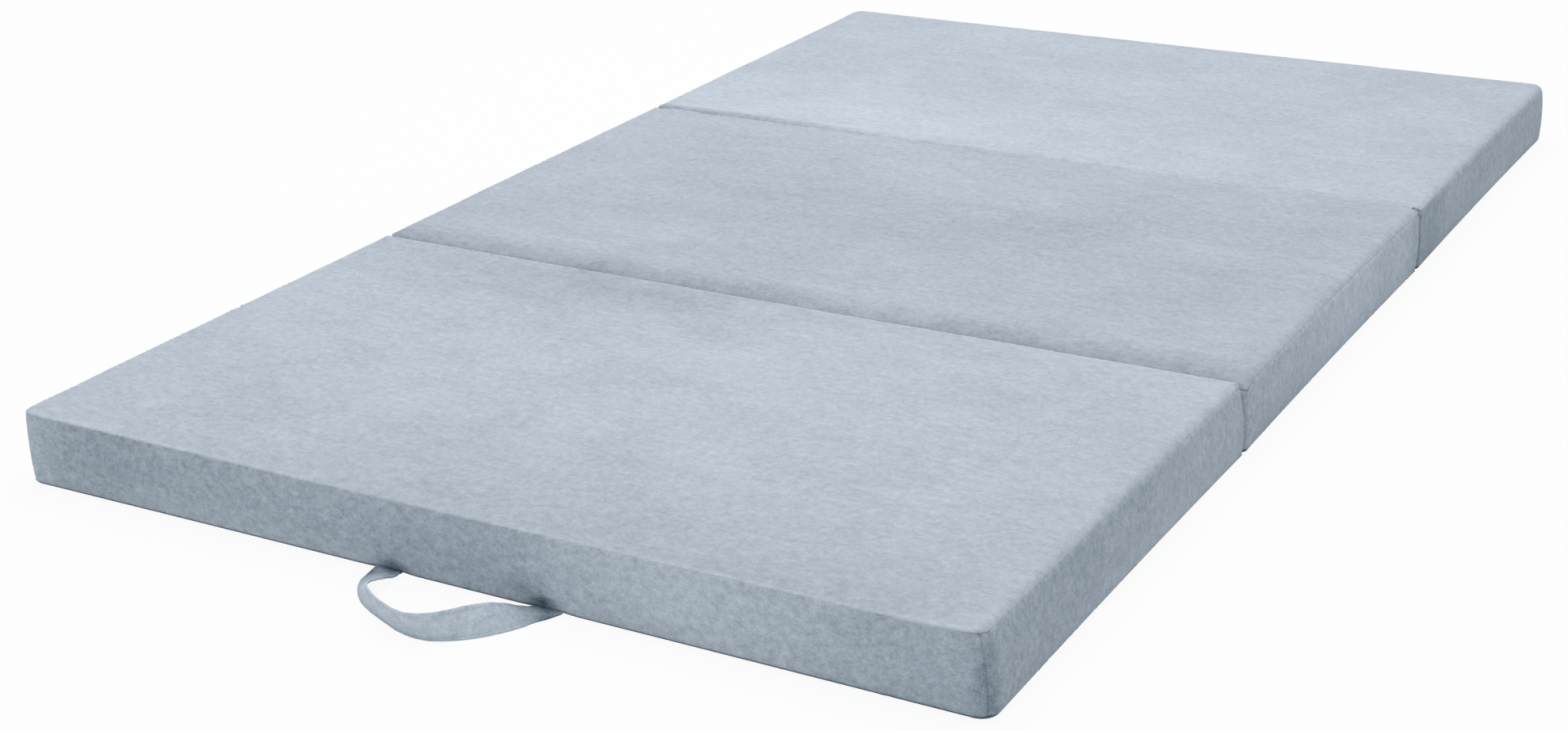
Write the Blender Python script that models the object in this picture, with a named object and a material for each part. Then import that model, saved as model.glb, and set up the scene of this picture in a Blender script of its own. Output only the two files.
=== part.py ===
"""A folding guest mattress lying open: three foam sections in a sewn cover.

Lengths are in metres and +Z is up. The mattress lies on the plane z = 0, its length runs along Y
and the origin is under the middle section. The carrying strap is at the -Y end. The foot section
folds down and under the middle one at the lower fold, and the head section folds up and over it
at the upper fold.
"""

from collections import namedtuple
from math import copysign, cos, hypot, pi, radians, sin, tan

import bmesh
import bpy
from mathutils import Matrix, Vector

# Overall size, three equal sections
mattress_length = 2.000
mattress_width = 1.200
mattress_height = 0.090
section_count = 3
crease_gap = 0.002

# Form of a section: soft edges, a slight crown, sides that swell between the seams
crown_height = 0.0015
outer_corner_radius = 0.022
crease_corner_radius = 0.008
least_corner_radius = 0.0015
top_edge_radius = 0.010
bottom_edge_radius = 0.008
side_swell = 0.0015
side_draw_in = 0.002
end_draw_in = 0.002

# The middle section's top rolls down into the open crease
crease_roll_drop = 0.008
crease_roll_reach = 0.040

# Sewn cover
cloth_thickness = 0.0012
seam_gap = 0.0004
contact_gap = 0.0003
top_seam_angle = radians(54)
bottom_seam_angle = radians(60)

# Fineness of the curved cloth
columns_across = 12
columns_along = 8
corner_turns = (tan(radians(22.5)), 1)
side_row_shares = (0.34, 0.67)
roll_line_shares = (0.28, 0.60)
sharp_angle = radians(40)

# Fabric hinges in the two folds
hinge_cloth_thickness = 0.0010
fold_clearance = 0.001
lower_axis_depth = 0.0005
hinge_end_inset = 0.024

# Zip along the left side
zip_slot_half_width = 0.0050
tape_thickness = 0.0006
tape_half_width = 0.0140
chain_slot_half_width = 0.0008
coil_width = 0.0024
coil_height = 0.0014
stop_length = 0.0030
stop_thickness = 0.0011

# Zip slider: two plates round the chain, joined by a keel that runs between the rows of coil
slider_length = 0.0110
slider_wall = 0.0010
slider_lip = 0.0008
keel_half_width = 0.0005
bail_wall = 0.0008
bail_half_width = 0.0008
bail_eye_height = 0.0024
bail_eye_half_length = 0.0015
bail_sink = 0.0004

# Zip pull: a tab with a window that the slider's bail passes through
pull_length = 0.0220
pull_half_width = 0.0025
pull_tip_half_width = 0.0032
pull_half_thickness = 0.0006
pull_window_half_width = 0.0013
pull_window_length = 0.0034

# Carrying strap, sewn into the bottom seam of the foot end
strap_width = 0.034
strap_half_thickness = 0.0012
strap_left = -0.1045
strap_right = 0.1270
strap_loop_depth = 0.1023
strap_drop_length = 0.020
strap_steps = 40
strap_root_turns = (radians(75), radians(40))
strap_edge_turns = (radians(-90), radians(-30), radians(30), radians(90))
# Places along the strap's lower edge as shares of its span and its reach, and how far the upper
# edge stands off there across and along the mattress, as shares of the strap's width
strap_shares = (
    (0.000, 0.000, 1.00, 0.00),
    (0.007, 0.183, 0.98, 0.00),
    (0.045, 0.408, 0.85, -0.06),
    (0.142, 0.638, 0.47, -0.24),
    (0.286, 0.816, 0.14, -0.30),
    (0.421, 0.939, 0.06, -0.32),
    (0.526, 1.000, 0.08, -0.28),
    (0.621, 0.973, 0.10, -0.15),
    (0.714, 0.876, -0.08, 0.02),
    (0.791, 0.735, -0.36, 0.20),
    (0.857, 0.554, -0.60, 0.22),
    (0.904, 0.375, -0.83, 0.22),
    (0.936, 0.213, -0.95, 0.16),
    (0.965, 0.106, -0.99, 0.07),
    (1.000, 0.000, -1.00, 0.00),
)

# Sizes that follow from those above
half_width = mattress_width / 2
section_length = mattress_length / section_count
edge_height = mattress_height - crown_height
side_low = bottom_edge_radius
side_high = edge_height - top_edge_radius
side_middle = (side_low + side_high) / 2
side_half_height = (side_high - side_low) / 2
slot_share = zip_slot_half_width / side_half_height
tape_depth = cloth_thickness + contact_gap + side_swell * (tape_half_width / side_half_height) ** 2
coil_face_depth = tape_depth - coil_height
plate_depth = coil_face_depth - contact_gap
slider_back_depth = tape_depth + tape_thickness + contact_gap + slider_wall
core_side_inset = slider_back_depth + contact_gap
core_floor = cloth_thickness + contact_gap
lower_fold_y = -section_length / 2
upper_fold_y = section_length / 2
upper_axis_z = mattress_height + fold_clearance


for leftover in list(bpy.data.objects):
    bpy.data.objects.remove(leftover, do_unlink=True)


# A line of a section's plan: its share of the straight middle, its share of the turn at the
# corners, and the length by which it is trimmed back from the corner
Line = namedtuple("Line", "share turn trim", defaults=(0, 0))


class Section:
    """One of the three upholstered blocks, with the plan of its seams."""

    def __init__(self, name, low_y, high_y, free_front, free_rear, rolled_front=False):
        self.name = name
        self.low_y = low_y
        self.high_y = high_y
        self.centre_y = (low_y + high_y) / 2
        self.half_length = (high_y - low_y) / 2
        self.free_front = free_front
        self.free_rear = free_rear
        self.rolled_front = rolled_front
        self.front_radius = outer_corner_radius if free_front else crease_corner_radius
        self.rear_radius = outer_corner_radius if free_rear else crease_corner_radius

    def place(self, across, along, inset, height):
        """A point of the section, where two lines of its plan cross.

        The plan's border is the outline, drawn in by inset. Its corners are rounded, free sides
        are drawn in between their corners, and the top rises to its crown and falls at its roll.
        """
        front = max(self.front_radius - inset, least_corner_radius)
        rear = max(self.rear_radius - inset, least_corner_radius)
        toward_rear = (along.share + 1) / 2
        radius = front + (rear - front) * toward_rear
        low_y = inset + front - self.half_length
        high_y = self.half_length - inset - rear
        turns = [line.turn - copysign(line.trim / radius, line.turn) for line in (across, along)]
        distance = hypot(*turns)
        spread = max(abs(turn) for turn in turns) * radius / distance if distance else 0
        x = across.share * (half_width - inset - radius) + turns[0] * spread
        y = low_y + (high_y - low_y) * toward_rear + turns[1] * spread
        x_share = x / half_width
        y_share = y / self.half_length
        if x > 0:
            x -= side_draw_in * x_share * (1 - y_share**2)
        if (y < 0 and self.free_front) or (y > 0 and self.free_rear):
            y -= end_draw_in * y_share * (1 - x_share**2)
        rise = crown_height * (1 - x_share**4) * (1 - y_share**4) * height / edge_height
        if self.rolled_front:
            rise -= self.crease_roll(x_share, y) * height / edge_height
        return Vector((x, self.centre_y + y, height + rise))

    def crease_roll(self, x_share, y):
        """How far the top rolls down toward the open crease; it runs out at the zip's side."""
        nearness = max(0, 1 - (y + self.half_length) / crease_roll_reach)
        return crease_roll_drop * nearness**2 * (1 - ((1 - x_share) / 2) ** 4)


lines_across = [Line(-1, -turn) for turn in reversed(corner_turns)]
lines_across += [Line(2 * step / columns_across - 1) for step in range(columns_across + 1)]
lines_across += [Line(1, turn) for turn in corner_turns]
lines_along = [Line(-1, -turn) for turn in reversed(corner_turns)]
lines_along += [Line(-1)]
roll_line_places = [crease_roll_reach * share for share in roll_line_shares]
lines_along += [Line(2 * place / section_length - 1) for place in roll_line_places]
lines_along += [Line(2 * step / columns_along - 1) for step in range(1, columns_along + 1)]
lines_along += [Line(1, turn) for turn in corner_turns]


def trimmed(lines):
    """The same lines, with the first and the last held back from the corner seams."""
    first, last = (line._replace(trim=seam_gap) for line in (lines[0], lines[-1]))
    return [first, *lines[1:-1], last]


def side_run(side):
    """Pairs of lines along one side, from corner seam to corner seam, walked anticlockwise."""
    if side == "front":
        return [(across, lines_along[0]) for across in trimmed(lines_across)]
    if side == "right":
        return [(lines_across[-1], along) for along in trimmed(lines_along)]
    if side == "rear":
        return [(across, lines_along[-1]) for across in reversed(trimmed(lines_across))]
    return [(lines_across[0], along) for along in reversed(trimmed(lines_along))]


def border():
    """The plan's border as rows and columns of its grid, walked anticlockwise."""
    columns = len(lines_across) - 1
    rows = len(lines_along) - 1
    walk = [(0, column) for column in range(columns)]
    walk += [(row, columns) for row in range(rows)]
    walk += [(rows, column) for column in range(columns, 0, -1)]
    return walk + [(row, 0) for row in range(rows, 0, -1)]


border_lines = [(lines_across[column], lines_along[row]) for row, column in border()]


def flat_grid(bm, section, inset, height):
    """Rows of vertices over the section's flat, with its border as a ring."""
    grid = [
        [bm.verts.new(section.place(across, along, inset, height)) for across in lines_across]
        for along in lines_along
    ]
    for low, high in zip(grid, grid[1:]):
        join_rings(bm, low, high, closed=False)
    return [grid[row][column] for row, column in border()]


def border_ring(bm, section, inset, height):
    return [bm.verts.new(section.place(*lines, inset, height)) for lines in border_lines]


def top_edge(angle, depth):
    """Inset and height on the rolled top edge; the angle is 0 on the top and a quarter turn below."""
    radius = top_edge_radius - depth
    inset = side_swell + top_edge_radius - radius * sin(angle)
    return inset, side_high + radius * cos(angle)


def side_face(share, depth):
    """Inset and height on the side; share runs from -1 at its foot to 1 at its top."""
    return side_swell * share**2 + depth, side_middle + share * side_half_height


def bottom_edge(angle, depth):
    """Inset and height on the bottom edge; the angle is 0 on the underside."""
    radius = bottom_edge_radius - depth
    inset = side_swell + bottom_edge_radius - radius * sin(angle)
    return inset, side_low - radius * cos(angle)


Finish = namedtuple("Finish", "colour roughness metallic", defaults=(0,))

velour = Finish((0.46, 0.54, 0.61), 0.90)
velour_side = Finish((0.42, 0.50, 0.57), 0.90)
underside_cloth = Finish((0.20, 0.24, 0.28), 0.95)
white_foam = Finish((0.80, 0.78, 0.68), 0.95)
woven_tape = Finish((0.30, 0.35, 0.40), 0.80)
zip_metal = Finish((0.55, 0.56, 0.58), 0.35, 0.90)


def make_material(name, finish):
    material = bpy.data.materials.new(name)
    material.use_nodes = True
    shader = material.node_tree.nodes["Principled BSDF"]
    shader.inputs["Base Color"].default_value = (*finish.colour, 1)
    shader.inputs["Roughness"].default_value = finish.roughness
    shader.inputs["Metallic"].default_value = finish.metallic
    return material


def finish_object(name, bm, finish):
    """Turn a closed bmesh into a named object with its own material, faces outward."""
    bmesh.ops.recalc_face_normals(bm, faces=bm.faces)
    mesh = bpy.data.meshes.new(name)
    bm.to_mesh(mesh)
    bm.free()
    mesh.shade_smooth()
    mesh.set_sharp_from_angle(angle=sharp_angle)
    mesh.materials.append(make_material(name, finish))
    made = bpy.data.objects.new(name, mesh)
    bpy.context.scene.collection.objects.link(made)
    return made


def join_rings(bm, first, second, closed=True):
    """A strip of faces between two rows of vertices."""
    count = len(first)
    for step in range(count if closed else count - 1):
        after = (step + 1) % count
        bm.faces.new((first[step], first[after], second[after], second[step]))


def cloth_lid(section, crowned, edge_curve, angles):
    """A panel with its rolled border: a flat middle, then rings round the edge to the seam.

    A crowned middle is a grid, and a flat one is a single face.
    """
    bm = bmesh.new()
    rims = []
    for depth in (0, cloth_thickness):
        if crowned:
            ring = flat_grid(bm, section, *edge_curve(0, depth))
        else:
            ring = border_ring(bm, section, *edge_curve(0, depth))
            bm.faces.new(ring)
        for angle in angles:
            after = border_ring(bm, section, *edge_curve(angle, depth))
            join_rings(bm, ring, after)
            ring = after
        rims.append(ring)
    join_rings(bm, *rims)
    return bm


def top_panel(section):
    seam = top_seam_angle - seam_gap / 2 / top_edge_radius
    bm = cloth_lid(section, True, top_edge, (top_seam_angle / 2, seam))
    return finish_object(f"{section.name}_top_panel", bm, velour)


def base_panel(section):
    seam = bottom_seam_angle - seam_gap / 2 / bottom_edge_radius
    bm = cloth_lid(section, False, bottom_edge, (bottom_seam_angle / 2, seam))
    return finish_object(f"{section.name}_base_panel", bm, underside_cloth)


def cloth_slab(outer, inner):
    """A piece of cloth between two matching grids of points, closed all round."""
    bm = bmesh.new()
    faces = [[[bm.verts.new(point) for point in row] for row in grid] for grid in (outer, inner)]
    for rows in faces:
        for low, high in zip(rows, rows[1:]):
            join_rings(bm, low, high, closed=False)
    for edge in (0, -1):
        join_rings(bm, faces[0][edge], faces[1][edge], closed=False)
        ends = [[row[edge] for row in rows] for rows in faces]
        join_rings(bm, *ends, closed=False)
    return bm


def boxing_strip(section, side, name, stations):
    """A boxing strip: one row of points for each station, along one side of the section.

    A station is a curve and its value, or its value for each line along the section.
    """
    grids = []
    for depth in (0, cloth_thickness):
        rows = []
        for curve, value in stations:
            row = []
            for across, along in side_run(side):
                here = value(along) if callable(value) else value
                row.append(section.place(across, along, *curve(here, depth)))
            rows.append(row)
        grids.append(rows)
    return finish_object(name, cloth_slab(*grids), velour_side)


top_seam_start = top_seam_angle + seam_gap / 2 / top_edge_radius
bottom_seam_start = bottom_seam_angle + seam_gap / 2 / bottom_edge_radius


def whole_boxing(section, side):
    stations = [(bottom_edge, bottom_seam_start), (bottom_edge, pi / 2)]
    stations += [(side_face, -side_row_shares[0]), (side_face, side_row_shares[0])]
    stations += [(side_face, 1), (top_edge, top_seam_start)]
    return boxing_strip(section, side, f"{section.name}_boxing_{side}", stations)


def split_boxing(section):
    """The left side, in two strips with the zip's slot between them.

    The slot closes at the rounded corners, where the two strips meet.
    """
    closed_share = seam_gap / 2 / side_half_height

    def slot_edge(along):
        return closed_share if along.turn else slot_share

    upper = [(side_face, slot_edge), (side_face, side_row_shares[1])]
    upper += [(side_face, 1), (top_edge, top_seam_start)]
    lower = [(bottom_edge, bottom_seam_start), (bottom_edge, pi / 2)]
    lower += [(side_face, -side_row_shares[1])]
    lower += [(side_face, lambda along: -slot_edge(along))]
    boxing_strip(section, "left", f"{section.name}_boxing_left_upper", upper)
    boxing_strip(section, "left", f"{section.name}_boxing_left_lower", lower)


def foam_core(section):
    """The foam block: a flat-sided block with bevelled edges, just inside the cover."""
    top_bevel = side_swell + top_edge_radius - core_side_inset
    bottom_bevel = side_swell + bottom_edge_radius - core_side_inset
    core_top = edge_height - cloth_thickness - contact_gap
    rings = (
        (core_side_inset, core_top - top_bevel),
        (core_side_inset, core_floor + bottom_bevel),
        (core_side_inset + bottom_bevel, core_floor),
    )
    bm = bmesh.new()
    ring = flat_grid(bm, section, core_side_inset + top_bevel, core_top)
    for inset, height in rings:
        after = border_ring(bm, section, inset, height)
        join_rings(bm, ring, after)
        ring = after
    bm.faces.new(ring)
    return finish_object(f"{section.name}_foam_core", bm, white_foam)


def left_side_point(along, up, depth):
    """A point by the left side: its place along Y, its height, and its depth under the side."""
    return Vector((depth - half_width, along, up))


def extrude_along(bm, outline, start, end):
    """Extrude an outline of (up, depth) points along the left side."""
    rings = [
        [bm.verts.new(left_side_point(along, up, depth)) for up, depth in outline]
        for along in (start, end)
    ]
    join_rings(bm, *rings)
    for ring in rings:
        bm.faces.new(ring)


def zip_ends(section):
    """Where the chain starts and ends: the straight run between the rounded corners."""
    return section.low_y + section.front_radius, section.high_y - section.rear_radius


def zip_tape(section, half):
    """A woven tape behind the boxing, with its row of coil standing in the slot."""
    turn = 1 if half == "upper" else -1
    start, end = zip_ends(section)
    outline = [
        (chain_slot_half_width, coil_face_depth),
        (chain_slot_half_width + coil_width, coil_face_depth),
        (chain_slot_half_width + coil_width, tape_depth),
        (tape_half_width, tape_depth),
        (tape_half_width, tape_depth + tape_thickness),
        (chain_slot_half_width, tape_depth + tape_thickness),
    ]
    bm = bmesh.new()
    extrude_along(bm, [(side_middle + turn * up, depth) for up, depth in outline], start, end)
    return finish_object(f"{section.name}_zip_tape_{half}", bm, woven_tape)


def zip_stop(section, end_name):
    """A stop clamped over one end of the chain."""
    start, end = zip_ends(section)
    low = start if end_name == "front" else end - stop_length
    reach = chain_slot_half_width + coil_width
    outline = [
        (side_middle - reach, plate_depth - stop_thickness),
        (side_middle + reach, plate_depth - stop_thickness),
        (side_middle + reach, plate_depth),
        (side_middle - reach, plate_depth),
    ]
    bm = bmesh.new()
    extrude_along(bm, outline, low, low + stop_length)
    return finish_object(f"{section.name}_zip_stop_{end_name}", bm, zip_metal)


def slider_centre(section):
    """The closed slider stands against the rear stop."""
    return zip_ends(section)[1] - stop_length - contact_gap - slider_length / 2


def bail_guide(section):
    """The slider's bail: an arch on its front plate, open from side to side."""
    centre = slider_centre(section)
    outer = bail_eye_half_length + bail_wall
    face = plate_depth - slider_wall
    top = face - bail_eye_height - bail_wall
    arch = [
        (-outer, face + bail_sink),
        (-outer, top),
        (outer, top),
        (outer, face + bail_sink),
        (bail_eye_half_length, face + bail_sink),
        (bail_eye_half_length, face - bail_eye_height),
        (-bail_eye_half_length, face - bail_eye_height),
        (-bail_eye_half_length, face + bail_sink),
    ]
    bm = bmesh.new()
    rings = [
        [bm.verts.new(left_side_point(centre + y, side_middle + up, depth)) for y, depth in arch]
        for up in (-bail_half_width, bail_half_width)
    ]
    join_rings(bm, *rings)
    for ring in rings:
        bm.faces.new(ring)
    guide = finish_object(f"{section.name}_bail_guide", bm, zip_metal)
    guide.hide_render = True
    guide.display_type = "WIRE"
    return guide


def zip_slider(section):
    """Two plates with lips down both sides of the chain, a keel between them and a bail."""
    lip_inner = chain_slot_half_width + coil_width + contact_gap
    lip_outer = lip_inner + slider_lip
    back_face = slider_back_depth - slider_wall
    half_outline = [
        (lip_outer, plate_depth - slider_wall),
        (lip_outer, tape_depth - contact_gap),
        (lip_inner, tape_depth - contact_gap),
        (lip_inner, plate_depth),
        (keel_half_width, plate_depth),
        (keel_half_width, back_face),
        (lip_outer, back_face),
        (lip_outer, slider_back_depth),
    ]
    outline = half_outline + [(-up, depth) for up, depth in reversed(half_outline)]
    centre = slider_centre(section)
    bm = bmesh.new()
    extrude_along(
        bm,
        [(side_middle + up, depth) for up, depth in outline],
        centre - slider_length / 2,
        centre + slider_length / 2,
    )
    slider = finish_object(f"{section.name}_zip_slider", bm, zip_metal)
    union = slider.modifiers.new("bail", "BOOLEAN")
    union.operation = "UNION"
    union.solver = "EXACT"
    union.object = bail_guide(section)
    move_origin(slider, Vector((-half_width, centre, side_middle)))
    return slider


def zip_pull(section):
    """The pull tab, lying along the chain, with its crossbar in the bail."""
    pivot_depth = plate_depth - slider_wall - bail_eye_height / 2
    pivot = left_side_point(slider_centre(section), side_middle, pivot_depth)
    bar = pull_half_thickness
    window_end = bar + pull_window_length
    outer = [
        (bar, -pull_half_width),
        (-window_end, -pull_half_width),
        (-pull_length, -pull_tip_half_width),
        (-pull_length, pull_tip_half_width),
        (-window_end, pull_half_width),
        (bar, pull_half_width),
    ]
    window = [
        (-bar, -pull_window_half_width),
        (-window_end / 2, -pull_window_half_width),
        (-window_end, -pull_window_half_width),
        (-window_end, pull_window_half_width),
        (-window_end / 2, pull_window_half_width),
        (-bar, pull_window_half_width),
    ]
    bm = bmesh.new()
    loops = ((outer, -bar), (window, -bar), (window, bar), (outer, bar))
    rings = [
        [bm.verts.new(pivot + Vector((out, y, up))) for y, up in outline] for outline, out in loops
    ]
    for ring, after in zip(rings, rings[1:] + rings[:1]):
        join_rings(bm, ring, after)
    pull = finish_object(f"{section.name}_zip_pull", bm, zip_metal)
    move_origin(pull, pivot)
    return pull


def move_origin(piece, origin):
    """Put an object's origin on its joint without moving its shape."""
    piece.data.transform(Matrix.Translation(-origin))
    piece.location = origin


def hypot_side(longest, side):
    """The other side of a right triangle."""
    return (longest**2 - side**2) ** 0.5


def wedge_width(radius, drop, clearance):
    """Half the room between two facing round edges of one radius, at a drop from their outer face."""
    return crease_gap / 2 + side_swell + radius - hypot_side(radius + clearance, radius - drop)


def hinge_strip(name, fold_y, low, high, front_reach, rear_reach, finish):
    """A strip of doubled cloth sewn across a fold, between the two rounded edges."""
    bm = bmesh.new()
    end = half_width - hinge_end_inset
    corners = ((-front_reach, low), (rear_reach, low), (rear_reach, high), (-front_reach, high))
    rings = [
        [bm.verts.new(Vector((x, fold_y + y, z))) for y, z in corners] for x in (-end, 0, end)
    ]
    for ring, after in zip(rings, rings[1:]):
        join_rings(bm, ring, after)
    bm.faces.new(rings[0])
    bm.faces.new(rings[-1])
    return finish_object(name, bm, finish)


def fold_hinges():
    """The two hinges, each as wide as the moving section leaves room for on its way round.

    The swing is how far the centre of the moving section's round edge stands from the fold's axis.
    """
    low = contact_gap
    high = contact_gap + hinge_cloth_thickness
    seat = wedge_width(bottom_edge_radius, high, contact_gap)
    swing = hypot(
        crease_gap / 2 + side_swell + bottom_edge_radius, bottom_edge_radius + lower_axis_depth
    )
    free = hypot_side(swing - bottom_edge_radius - contact_gap, high + lower_axis_depth)
    reach = min(free, seat)
    hinge_strip("lower_fold_hinge", lower_fold_y, low, high, reach, seat, underside_cloth)
    high = edge_height - contact_gap
    low = high - hinge_cloth_thickness
    seat = wedge_width(top_edge_radius, edge_height - low, contact_gap)
    swing = hypot(crease_gap / 2 + side_swell + top_edge_radius, upper_axis_z - side_high)
    free = hypot_side(swing - top_edge_radius - contact_gap, upper_axis_z - low)
    hinge_strip("upper_fold_hinge", upper_fold_y, low, high, seat, min(free, seat), velour)


def smooth_between(table, place):
    """Values of a table at a place from 0 to 1, on a smooth curve through its rows."""
    last = len(table) - 1
    scaled = place * last
    step = min(int(scaled), last - 1)
    part = scaled - step
    rows = [table[max(0, min(last, step + offset))] for offset in (-1, 0, 1, 2)]
    values = []
    for before, start, end, after in zip(*rows):
        slope_in = (end - before) / 2
        slope_out = (after - start) / 2
        square, cube = part**2, part**3
        values.append(
            start * (2 * cube - 3 * square + 1)
            + slope_in * (cube - 2 * square + part)
            + end * (3 * square - 2 * cube)
            + slope_out * (cube - square)
        )
    return values


def strap_axis(section):
    """The seam line that the strap swings about: (y, z), just outside the cover."""
    stand_off = strap_half_thickness + contact_gap
    seam = section.place(Line(0), lines_along[0], *bottom_edge(bottom_seam_angle, -stand_off))
    return seam.y, seam.z


def strap_frame(section, place):
    """Lower edge, direction to the upper edge, and face normal of the strap at a place."""
    axis_y, axis_z = strap_axis(section)

    def edge_at(where):
        span_share, reach_share, _, _ = smooth_between(strap_shares, max(0, min(1, where)))
        out = strap_loop_depth * max(0, reach_share)
        fall = max(0, 1 - out / strap_drop_length) ** 2
        height = strap_half_thickness + (axis_z - strap_half_thickness) * fall
        x = strap_left + (strap_right - strap_left) * span_share
        return Vector((x, axis_y - out, height))

    step = 1 / strap_steps / 4
    tangent = edge_at(place + step) - edge_at(place - step)
    _, _, lean_across, lean_along = smooth_between(strap_shares, place)
    rise = max(0, 1 - lean_across**2 - lean_along**2) ** 0.5
    across = Vector((lean_across, lean_along, rise)).normalized()
    return edge_at(place), across, across.cross(tangent).normalized()


def strap_stations():
    """Places along the strap, with how far each stands back into the seam, and its thickness share.

    Both ends are rounded over into the seam, so that they turn about it.
    """
    backs = [(sin(turn) * strap_half_thickness, cos(turn)) for turn in strap_root_turns]
    stations = [(0, back, share) for back, share in backs]
    stations += [(step / strap_steps, 0, 1) for step in range(strap_steps + 1)]
    return stations + [(1, back, share) for back, share in reversed(backs)]


def carry_strap(section):
    """The strap: doubled cloth, flat in the seam at both ends, standing on edge between them."""
    core_width = strap_width - 2 * strap_half_thickness
    bm = bmesh.new()
    rings = []
    for place, back, thickness_share in strap_stations():
        edge, across, normal = strap_frame(section, place)
        ring = []
        for side, centre in ((-1, 0), (1, core_width)):
            for turn in strap_edge_turns:
                out = side * cos(turn) * strap_half_thickness
                up = -side * sin(turn) * strap_half_thickness * thickness_share
                point = edge + across * (centre + out) + normal * up
                ring.append(bm.verts.new(point + Vector((0, back, 0))))
        rings.append(ring)
    for ring, after in zip(rings, rings[1:]):
        join_rings(bm, ring, after)
    bm.faces.new(rings[0])
    bm.faces.new(rings[-1])
    strap = finish_object("carry_strap", bm, velour_side)
    axis_y, axis_z = strap_axis(section)
    move_origin(strap, Vector(((strap_left + strap_right) / 2, axis_y, axis_z)))
    return strap


half_mattress = mattress_length / 2
sections = (
    Section("foot", -half_mattress, lower_fold_y - crease_gap / 2, True, False),
    Section(
        "middle", lower_fold_y + crease_gap / 2, upper_fold_y - crease_gap / 2, False, False, True
    ),
    Section("head", upper_fold_y + crease_gap / 2, half_mattress, False, True),
)

for part in sections:
    foam_core(part)
    top_panel(part)
    base_panel(part)
    for boxing_side in ("front", "rear", "right"):
        whole_boxing(part, boxing_side)
    split_boxing(part)
    zip_tape(part, "upper")
    zip_tape(part, "lower")
    zip_stop(part, "front")
    zip_stop(part, "rear")
    zip_slider(part)
    zip_pull(part)

fold_hinges()
carry_strap(sections[0])
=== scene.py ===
from collections import namedtuple
from math import cos, pi, radians, sin

import bmesh
import bpy
import numpy as np
from mathutils import Matrix, Vector
from mathutils.kdtree import KDTree


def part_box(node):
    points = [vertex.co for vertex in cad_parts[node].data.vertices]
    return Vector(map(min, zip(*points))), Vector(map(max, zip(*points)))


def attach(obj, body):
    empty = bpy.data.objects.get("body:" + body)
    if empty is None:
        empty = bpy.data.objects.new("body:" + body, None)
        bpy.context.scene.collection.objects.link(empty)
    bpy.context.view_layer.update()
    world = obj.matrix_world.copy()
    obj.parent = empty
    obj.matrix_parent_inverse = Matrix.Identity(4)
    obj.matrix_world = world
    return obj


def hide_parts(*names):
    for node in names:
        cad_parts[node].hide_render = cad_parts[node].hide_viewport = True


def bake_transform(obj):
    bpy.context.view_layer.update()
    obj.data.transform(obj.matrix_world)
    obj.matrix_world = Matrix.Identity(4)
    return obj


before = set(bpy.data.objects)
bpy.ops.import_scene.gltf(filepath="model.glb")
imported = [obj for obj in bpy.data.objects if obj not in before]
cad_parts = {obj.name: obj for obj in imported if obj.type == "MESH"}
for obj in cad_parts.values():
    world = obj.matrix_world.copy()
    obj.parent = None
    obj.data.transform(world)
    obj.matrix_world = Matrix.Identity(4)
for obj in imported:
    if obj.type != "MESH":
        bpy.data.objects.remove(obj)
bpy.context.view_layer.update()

scene = bpy.context.scene

# The camera stands off the near right corner, a little over a metre up, as in the photograph.
# Its place, turn and lens come from fitting the mattress's corners, seams and creases.
photo_width = 1978
photo_focal_pixels = 3144.7
camera_place = Vector((1.4309, -2.7877, 1.1508))
camera_azimuth, camera_elevation, camera_roll = radians(30.14), radians(21.98), radians(-1.70)

forward = Vector((
    -sin(camera_azimuth) * cos(camera_elevation),
    cos(camera_azimuth) * cos(camera_elevation),
    -sin(camera_elevation),
))
level_right = forward.cross(Vector((0, 0, 1))).normalized()
level_up = level_right.cross(forward)
camera_right = level_right * cos(camera_roll) + level_up * sin(camera_roll)
camera_up = level_up * cos(camera_roll) - level_right * sin(camera_roll)
camera_data = bpy.data.cameras.new("camera")
camera_data.sensor_width = 36
camera_data.lens = photo_focal_pixels / photo_width * camera_data.sensor_width
camera_data.clip_start = 0.05
camera = bpy.data.objects.new("camera", camera_data)
scene.collection.objects.link(camera)
camera.matrix_world = Matrix((
    (camera_right.x, camera_up.x, -forward.x, camera_place.x),
    (camera_right.y, camera_up.y, -forward.y, camera_place.y),
    (camera_right.z, camera_up.z, -forward.z, camera_place.z),
    (0, 0, 0, 1),
))
scene.camera = camera

# Studio light: a wide soft box overhead, a weak one beyond the near end, and a pale room. The room
# and the floor look white to the camera, and the floor keeps the mattress's soft shadow.
scene.view_settings.view_transform = "Standard"
room = bpy.data.worlds.new("room")
scene.world = room
room.use_nodes = True
room_nodes, room_links = room.node_tree.nodes, room.node_tree.links
room_light = room_nodes["Background"]
room_light.inputs["Color"].default_value = (0.93, 0.97, 1.0, 1)
room_light.inputs["Strength"].default_value = 0.42
room_white = room_nodes.new("ShaderNodeBackground")
room_white.inputs["Color"].default_value = (1, 1, 1, 1)
room_white.inputs["Strength"].default_value = 1
room_ray = room_nodes.new("ShaderNodeLightPath")
room_seen = room_nodes.new("ShaderNodeMath")
room_seen.operation = "MAXIMUM"
room_mix = room_nodes.new("ShaderNodeMixShader")
room_links.new(room_ray.outputs["Is Camera Ray"], room_seen.inputs[0])
room_links.new(room_ray.outputs["Is Glossy Ray"], room_seen.inputs[1])
room_links.new(room_seen.outputs[0], room_mix.inputs[0])
room_links.new(room_light.outputs[0], room_mix.inputs[1])
room_links.new(room_white.outputs[0], room_mix.inputs[2])
room_links.new(room_mix.outputs[0], room_nodes["World Output"].inputs["Surface"])


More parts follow.
